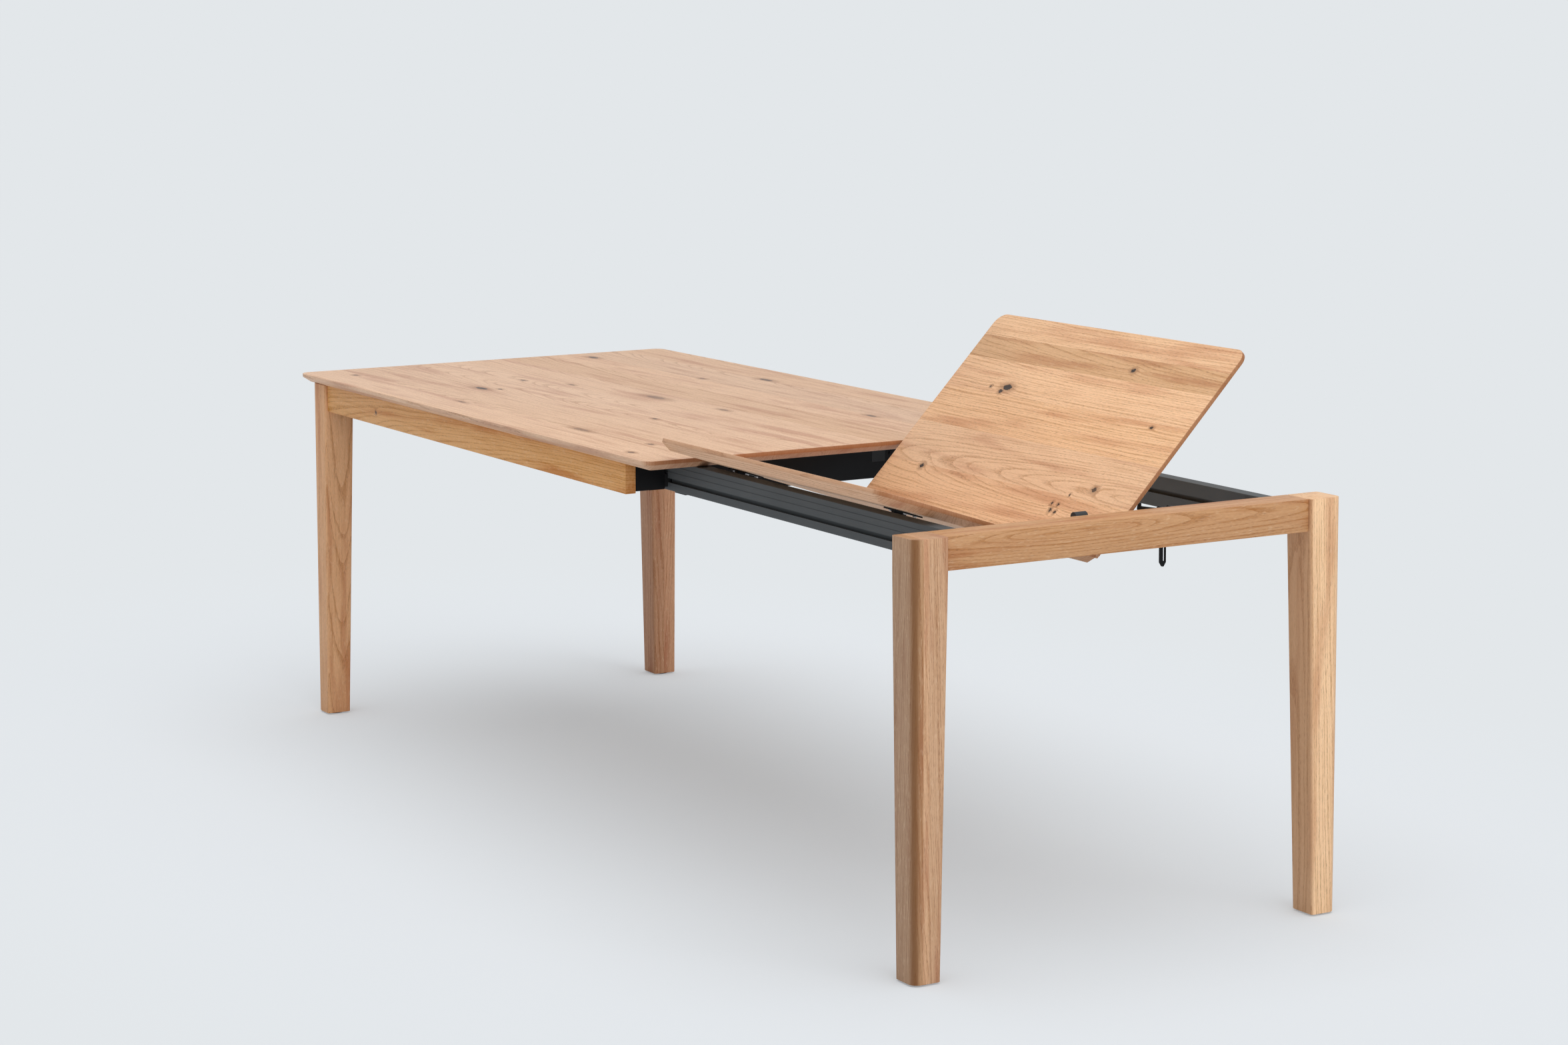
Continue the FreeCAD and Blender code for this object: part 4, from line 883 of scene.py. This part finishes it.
# %% Oak of the legs
leg_tones_and_light = {  # staves, degrees redder, streaks
    "fixed_leg_near": (((ONE_STAVE, 0.94, 0.10),), 2.0, ()),
    # painted shade: the far fixed leg is darkened for the shade it stands in under the table
    "fixed_leg_far": (((ONE_STAVE, 0.64, 0.10), (0.004, 0.74, 0.08)), 5.0, ()),
    # and light strip beside the rounding paint light; the streak is a real mineral stain
    # painted shade and light: the -Y side's stave is darker for its shade, and the warm band
    "end_leg_near": (((ONE_STAVE, 0.60, -0.02), (-0.0285, 0.66, 0.08), (-0.0150, 0.88, 0.0),
                      (-0.0040, 0.80, -0.01)), 1.5, ((-0.0295, -0.0300, 0.0090, 0.88),)),
    "end_leg_far": (((ONE_STAVE, 1.20, -0.06),), -2.0, ()),
}
for node, (staves, redder, streaks) in leg_tones_and_light.items():
    number += 1
    cut_from_plank(legs[node], node, staves, turn=(0, QUARTER, 0), seed=number,
                   redder=redder, streaks=streaks)
    mark_end_grain_and_shade(legs[node], ALONG_Z, ALONG_X, LEG_END,
                    FAR_LEG_SIDE_SHADE if node == "end_leg_far" else 0.0)
print("oak on", len(legs), "legs")

# %% Put the oak pieces on their bodies
rides = {"oak_tabletop": ("fixed_frame", "table_top"),
         "oak_leaf_near": ("leaf_near", "leaf_board_near"),
         "oak_leaf_far": ("leaf_far", "leaf_board_far")}
for node in list(legs) + list(bars):
    rides["oak_" + node] = ("end_frame" if node.startswith(("end_leg", "end_beam"))
                            else "fixed_frame", node)
for name, (body, node) in rides.items():
    piece = bpy.data.objects[name]
    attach(piece, body)
    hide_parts(node)
print(len(rides), "oak pieces ride on their bodies")

# %% [markdown]
# ## Metal and plastic
# The steel beams, brackets and the lever are powder coated: paint melted on as dust,
# which leaves a satin skin with a very fine orange peel. The rails are aluminium
# extrusions, anodised black, with faint die lines along their length. Small screws
# and bolts are zinc plated, and the hinge barrels are turned brass.

# %% Coated, plated and turned metal
EVERY_WAY = (1, 1, 1)
PATCH_WAVES, PATCH_DARK, PATCH_LIGHT = 9.0, 0.85, 1.15  # broad unevenness of the tone


def grainy_finish(name, colour, roughness, spread, waves, depth, metallic=0.0,
                  stretch=EVERY_WAY, gloss=0.5):
    """A finish with a fine relief, stretched as its making stretched it.

    waves is how many bumps there are to a metre, depth how high they are, and spread
    how far the roughness strays with them.
    """
    material, tree = new_material(name)
    place = add(tree, "TexCoord").outputs["Object"]
    drawn = add(tree, "Mapping", {"Vector": place, "Scale": stretch})
    relief = add(tree, "TexNoise", {"Vector": drawn, "Scale": waves, "Detail": 3.0})
    uneven = add(tree, "MapRange", {"Value": relief, "To Min": roughness - spread,
                                    "To Max": roughness + spread})
    patches = add(tree, "TexNoise", {"Vector": place, "Scale": PATCH_WAVES, "Detail": 2.0})
    value = add(tree, "MapRange", {"Value": patches, "To Min": PATCH_DARK,
                                   "To Max": PATCH_LIGHT})
    tinted = add(tree, "HueSaturation", {"Color": linear(colour), "Value": value})
    bump = add(tree, "Bump", {"Height": relief, "Strength": 0.3, "Distance": depth})
    shader = add(tree, "BsdfPrincipled", {
        "Base Color": tinted, "Roughness": uneven, "Metallic": metallic,
        "Specular IOR Level": gloss, "Normal": bump})
    add(tree, "OutputMaterial", {"Surface": shader})
    return material


powder_coat = grainy_finish("satin black powder coat on steel", "#121315", roughness=0.42,
                            spread=0.06, waves=900, depth=0.05 * MM, gloss=0.12)
anodised = grainy_finish("black anodised aluminium extrusion", "#54585A", roughness=0.50,
                         spread=0.08, waves=1600, depth=0.03 * MM, stretch=(0.02, 1, 1),
                         gloss=0.12)
zinc = grainy_finish("bright zinc plated steel", "#B9BCC0", roughness=0.30, spread=0.10,
                     waves=500, depth=0.02 * MM, metallic=1.0)
brass = grainy_finish("turned brass", "#C9A45C", roughness=0.28, spread=0.08, waves=900,
                      depth=0.02 * MM, metallic=1.0, stretch=(1, 1, 0.1))
print("metals ready")

# %% Moulded nylon, rubber and beech
nylon = grainy_finish("moulded black nylon", "#1A1B1D", roughness=0.55, spread=0.05,
                      waves=700, depth=0.05 * MM, gloss=0.3)
rubber = grainy_finish("black rubber", "#1D1F21", roughness=0.6, spread=0.05, waves=1100,
                       depth=0.08 * MM)
beech = oiled_oak("raw beech dowel", ((ONE_STAVE, 1.02, 0.0),), turn=(0, 0, -QUARTER),
                  seed=90.0)
finish_of = {"black_steel": powder_coat, "black_aluminium": anodised, "nylon": nylon,
             "rubber": rubber, "zinc_steel": zinc, "brass": brass, "beech": beech}
print("finishes for", ", ".join(finish_of))

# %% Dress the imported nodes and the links
nodes = frame["nodes"]
slot_of = {part["node"]: part["material_slot"] for part in frame["record"]["subparts"]}
for node, piece in nodes.items():
    if slot_of[node] in finish_of:
        dress(piece, finish_of[slot_of[node]])
dress(links, finish_of[slot_of["hinge_links"]])
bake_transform(links)
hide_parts("hinge_links")
print("finishes on", sum(slot_of[n] in finish_of for n in nodes), "packed nodes")

# %% [markdown]
# The lever has a torsion spring: a coil round its pin, with one leg held against the
# bracket. A circle of the wire's size is swept round the pin's line by a screw modifier,
# its two ends are closed, and the first is pulled out into the leg.

# %% The lever's coil
WIRE_RADIUS, COIL_RADIUS, COIL_PITCH, COIL_TURNS = 0.6 * MM, 3.9 * MM, 1.08 * MM, 2
WIRE_SIDES = 12
STEPS_PER_TURN = 32
spring_low, spring_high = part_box("lever_spring")
pin_line = joint_place["release_lever_pivot"]
pin_place = Vector((pin_line.x, 0, pin_line.z))
first_turn = spring_low.y + WIRE_RADIUS
coil_start = Vector((pin_line.x, first_turn, pin_line.z - COIL_RADIUS))

spring = start("steel_lever_spring", bpy.ops.mesh.primitive_circle_add,
               vertices=WIRE_SIDES, radius=WIRE_RADIUS, location=coil_start - pin_place,
               rotation=(0, QUARTER, 0))
settle(spring)
sweep = spring.modifiers.new("coil", "SCREW")
sweep.axis = "Y"
sweep.angle = COIL_TURNS * 2 * math.pi
sweep.screw_offset = COIL_TURNS * COIL_PITCH
sweep.steps = sweep.render_steps = STEPS_PER_TURN * COIL_TURNS
bpy.ops.object.modifier_apply(modifier=sweep.name)
spring.location = pin_place
settle(spring)
print("coil of", COIL_TURNS, "turns,", len(spring.data.polygons), "faces")

# %% The spring's ends and leg
TOUCHING = 0.01 * MM


def at_start(part):
    """True for an edge or a face at the wire's cut end under the pin, on its near side."""
    return all(abs(v.co.x - coil_start.x) < TOUCHING and v.co.z < pin_line.z
               and abs(v.co.y - first_turn) < 1.1 * WIRE_RADIUS for v in part.verts)


bpy.ops.object.mode_set(mode="EDIT")
pick(spring, "edges", lambda edge: edge.is_boundary and at_start(edge))
bpy.ops.mesh.edge_face_add()
bpy.ops.mesh.extrude_region_move(
    TRANSFORM_OT_translate={"value": (spring_high.x - coil_start.x, 0, 0)})
pick(spring, "edges", lambda edge: edge.is_boundary)
bpy.ops.mesh.edge_face_add()
bpy.ops.mesh.select_all(action="SELECT")
bpy.ops.mesh.normals_make_consistent(inside=False)
bpy.ops.object.mode_set(mode="OBJECT")
bpy.ops.object.shade_smooth_by_angle(angle=SMOOTH)
dress(spring, finish_of[slot_of["lever_spring"]])
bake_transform(spring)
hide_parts("lever_spring")
print("spring:", len(spring.data.polygons), "faces")

# %% [markdown]
# ## Floor, light and camera
# The table stands on a pale studio sweep. Near the table the floor is a real surface that
# takes its shadow, and further out it fades to one flat tone for the camera alone, which
# the world has too. Light that bounces round a white studio thins every shadow, so a
# share of the flat tone is mixed in near the table as well.

# %% Floor
SWEEP = "#E3E7EA"
FADE_FROM, FADE_TO = 1.0, 1.9  # metres from the table's middle, counted across it
LENGTH_SHARE = 0.6  # the table is longer than wide, so the fade is an oval
FILL_SHARE = 0.36  # of the flat tone, mixed in near the table
FLOOR_PAINT = "#E1E6EB"  # a touch cooler, since the oak throws warm light on it
FLOOR_SIZE = 60.0

floor = start("studio_floor", bpy.ops.mesh.primitive_plane_add, size=FLOOR_SIZE,
              location=(0, 0, 0))
floor_finish, tree = new_material("matt painted studio floor")
paint = add(tree, "BsdfPrincipled", {"Base Color": linear(FLOOR_PAINT), "Roughness": 1.0,
                                     "Specular IOR Level": 0.0})
place = add(tree, "TexCoord").outputs["Object"]
flat = add(tree, "Mapping", {"Vector": place, "Scale": (LENGTH_SHARE, 1.0, 0)})
away = add(tree, "VectorMath", (flat,), operation="LENGTH")
fade = add(tree, "MapRange", {"Value": away, "From Min": FADE_FROM, "From Max": FADE_TO,
                              "To Min": FILL_SHARE}, interpolation_type="SMOOTHSTEP")
seen = add(tree, "LightPath").outputs["Is Camera Ray"]
share = add(tree, "Math", (fade, seen), operation="MULTIPLY")
glow = add(tree, "Emission", {"Color": linear(SWEEP)})
mixed = add(tree, "MixShader", (share, paint, glow))
add(tree, "OutputMaterial", {"Surface": mixed})
dress(floor, floor_finish)
print("floor fades from", FADE_FROM, "to", FADE_TO, "m")

# %% World
AMBIENT = 0.42  # light from all round, where a strength of 1 alone would light in full

world = bpy.data.worlds.new("studio")
bpy.context.scene.world = world
world.use_nodes = True
tree = world.node_tree
tree.nodes.clear()
path = add(tree, "LightPath").outputs
seen = add(tree, "Math", (path["Is Camera Ray"], path["Is Glossy Ray"]), operation="MAXIMUM")
seen = add(tree, "Math", (seen, path["Is Transmission Ray"]), operation="MAXIMUM")
ambient = add(tree, "Background", {"Color": linear(WHITE), "Strength": AMBIENT})
backdrop = add(tree, "Background", {"Color": linear(SWEEP), "Strength": 1.0})
mixed = add(tree, "MixShader", (seen, ambient, backdrop))
add(tree, "OutputWorld", {"Surface": mixed})
print("sweep ready")

# %% [markdown]
# Two very wide soft lights stand for the studio's boxes: one overhead, and one from the
# end of the table. They are sun lamps with a large angle, because a sun gives the same
# level everywhere, so the floor has no bright pool. Together with the world they light
# a level surface at about one, at which a colour renders as it is written.

# %% Lamps
LAMP_STAND = 3.0  # metres; where a sun stands doesn't matter, only where it looks


def soft_light(name, direction, angle, level):
    """A wide sun. level is what it adds to a surface that faces it, where one is full."""
    lamp = start(name, bpy.ops.object.light_add, type="SUN",
                 location=Vector(direction) * LAMP_STAND)
    lamp.data.angle = math.radians(angle)
    lamp.data.energy = level * math.pi
    lamp.rotation_euler = (-Vector(direction)).to_track_quat("-Z", "Y").to_euler()


soft_light("overhead_box", direction=(0.10, -0.05, 1.0), angle=70, level=0.52)
soft_light("end_box", direction=(1.0, 0.1, 0.45), angle=60, level=0.26)

# %% [markdown]
# The camera stands about seven metres off with a long lens, which keeps the legs nearly
# parallel. A small upward shift does the rest.

# %% Camera
PICTURE_WIDTH, PICTURE_HEIGHT = 2352, 1568
FOCAL_PX = 5184.7
CENTRE_X_PX, CENTRE_Y_PX = 1139.6, 549.0  # the pixel that the lens looks at
SENSOR_WIDTH = 36.0  # in millimetres, as the lens is
CAMERA_PLACE = Vector((5.7817, -3.3624, 1.6442))
YAW, PITCH, ROLL = math.radians(149.816), math.radians(-6.692), math.radians(0.219)

camera_data = bpy.data.cameras.new("camera")
camera = bpy.data.objects.new("camera", camera_data)
bpy.context.scene.collection.objects.link(camera)
camera_data.sensor_width = SENSOR_WIDTH
camera_data.lens = FOCAL_PX / PICTURE_WIDTH * SENSOR_WIDTH
camera_data.shift_x = (PICTURE_WIDTH / 2 - CENTRE_X_PX) / PICTURE_WIDTH
camera_data.shift_y = (CENTRE_Y_PX - PICTURE_HEIGHT / 2) / PICTURE_WIDTH
look = Vector((math.cos(PITCH) * math.cos(YAW), math.cos(PITCH) * math.sin(YAW),
               math.sin(PITCH)))
camera.location = CAMERA_PLACE
camera.rotation_euler = (look.to_track_quat("-Z", "Y").to_matrix()
                         @ Matrix.Rotation(-ROLL, 3, "Z")).to_euler()
bpy.context.scene.camera = camera
bpy.context.scene.view_settings.view_transform = "Standard"
print("lens", round(camera_data.lens, 1), "mm, shift", round(camera_data.shift_x, 3),
      round(camera_data.shift_y, 3))
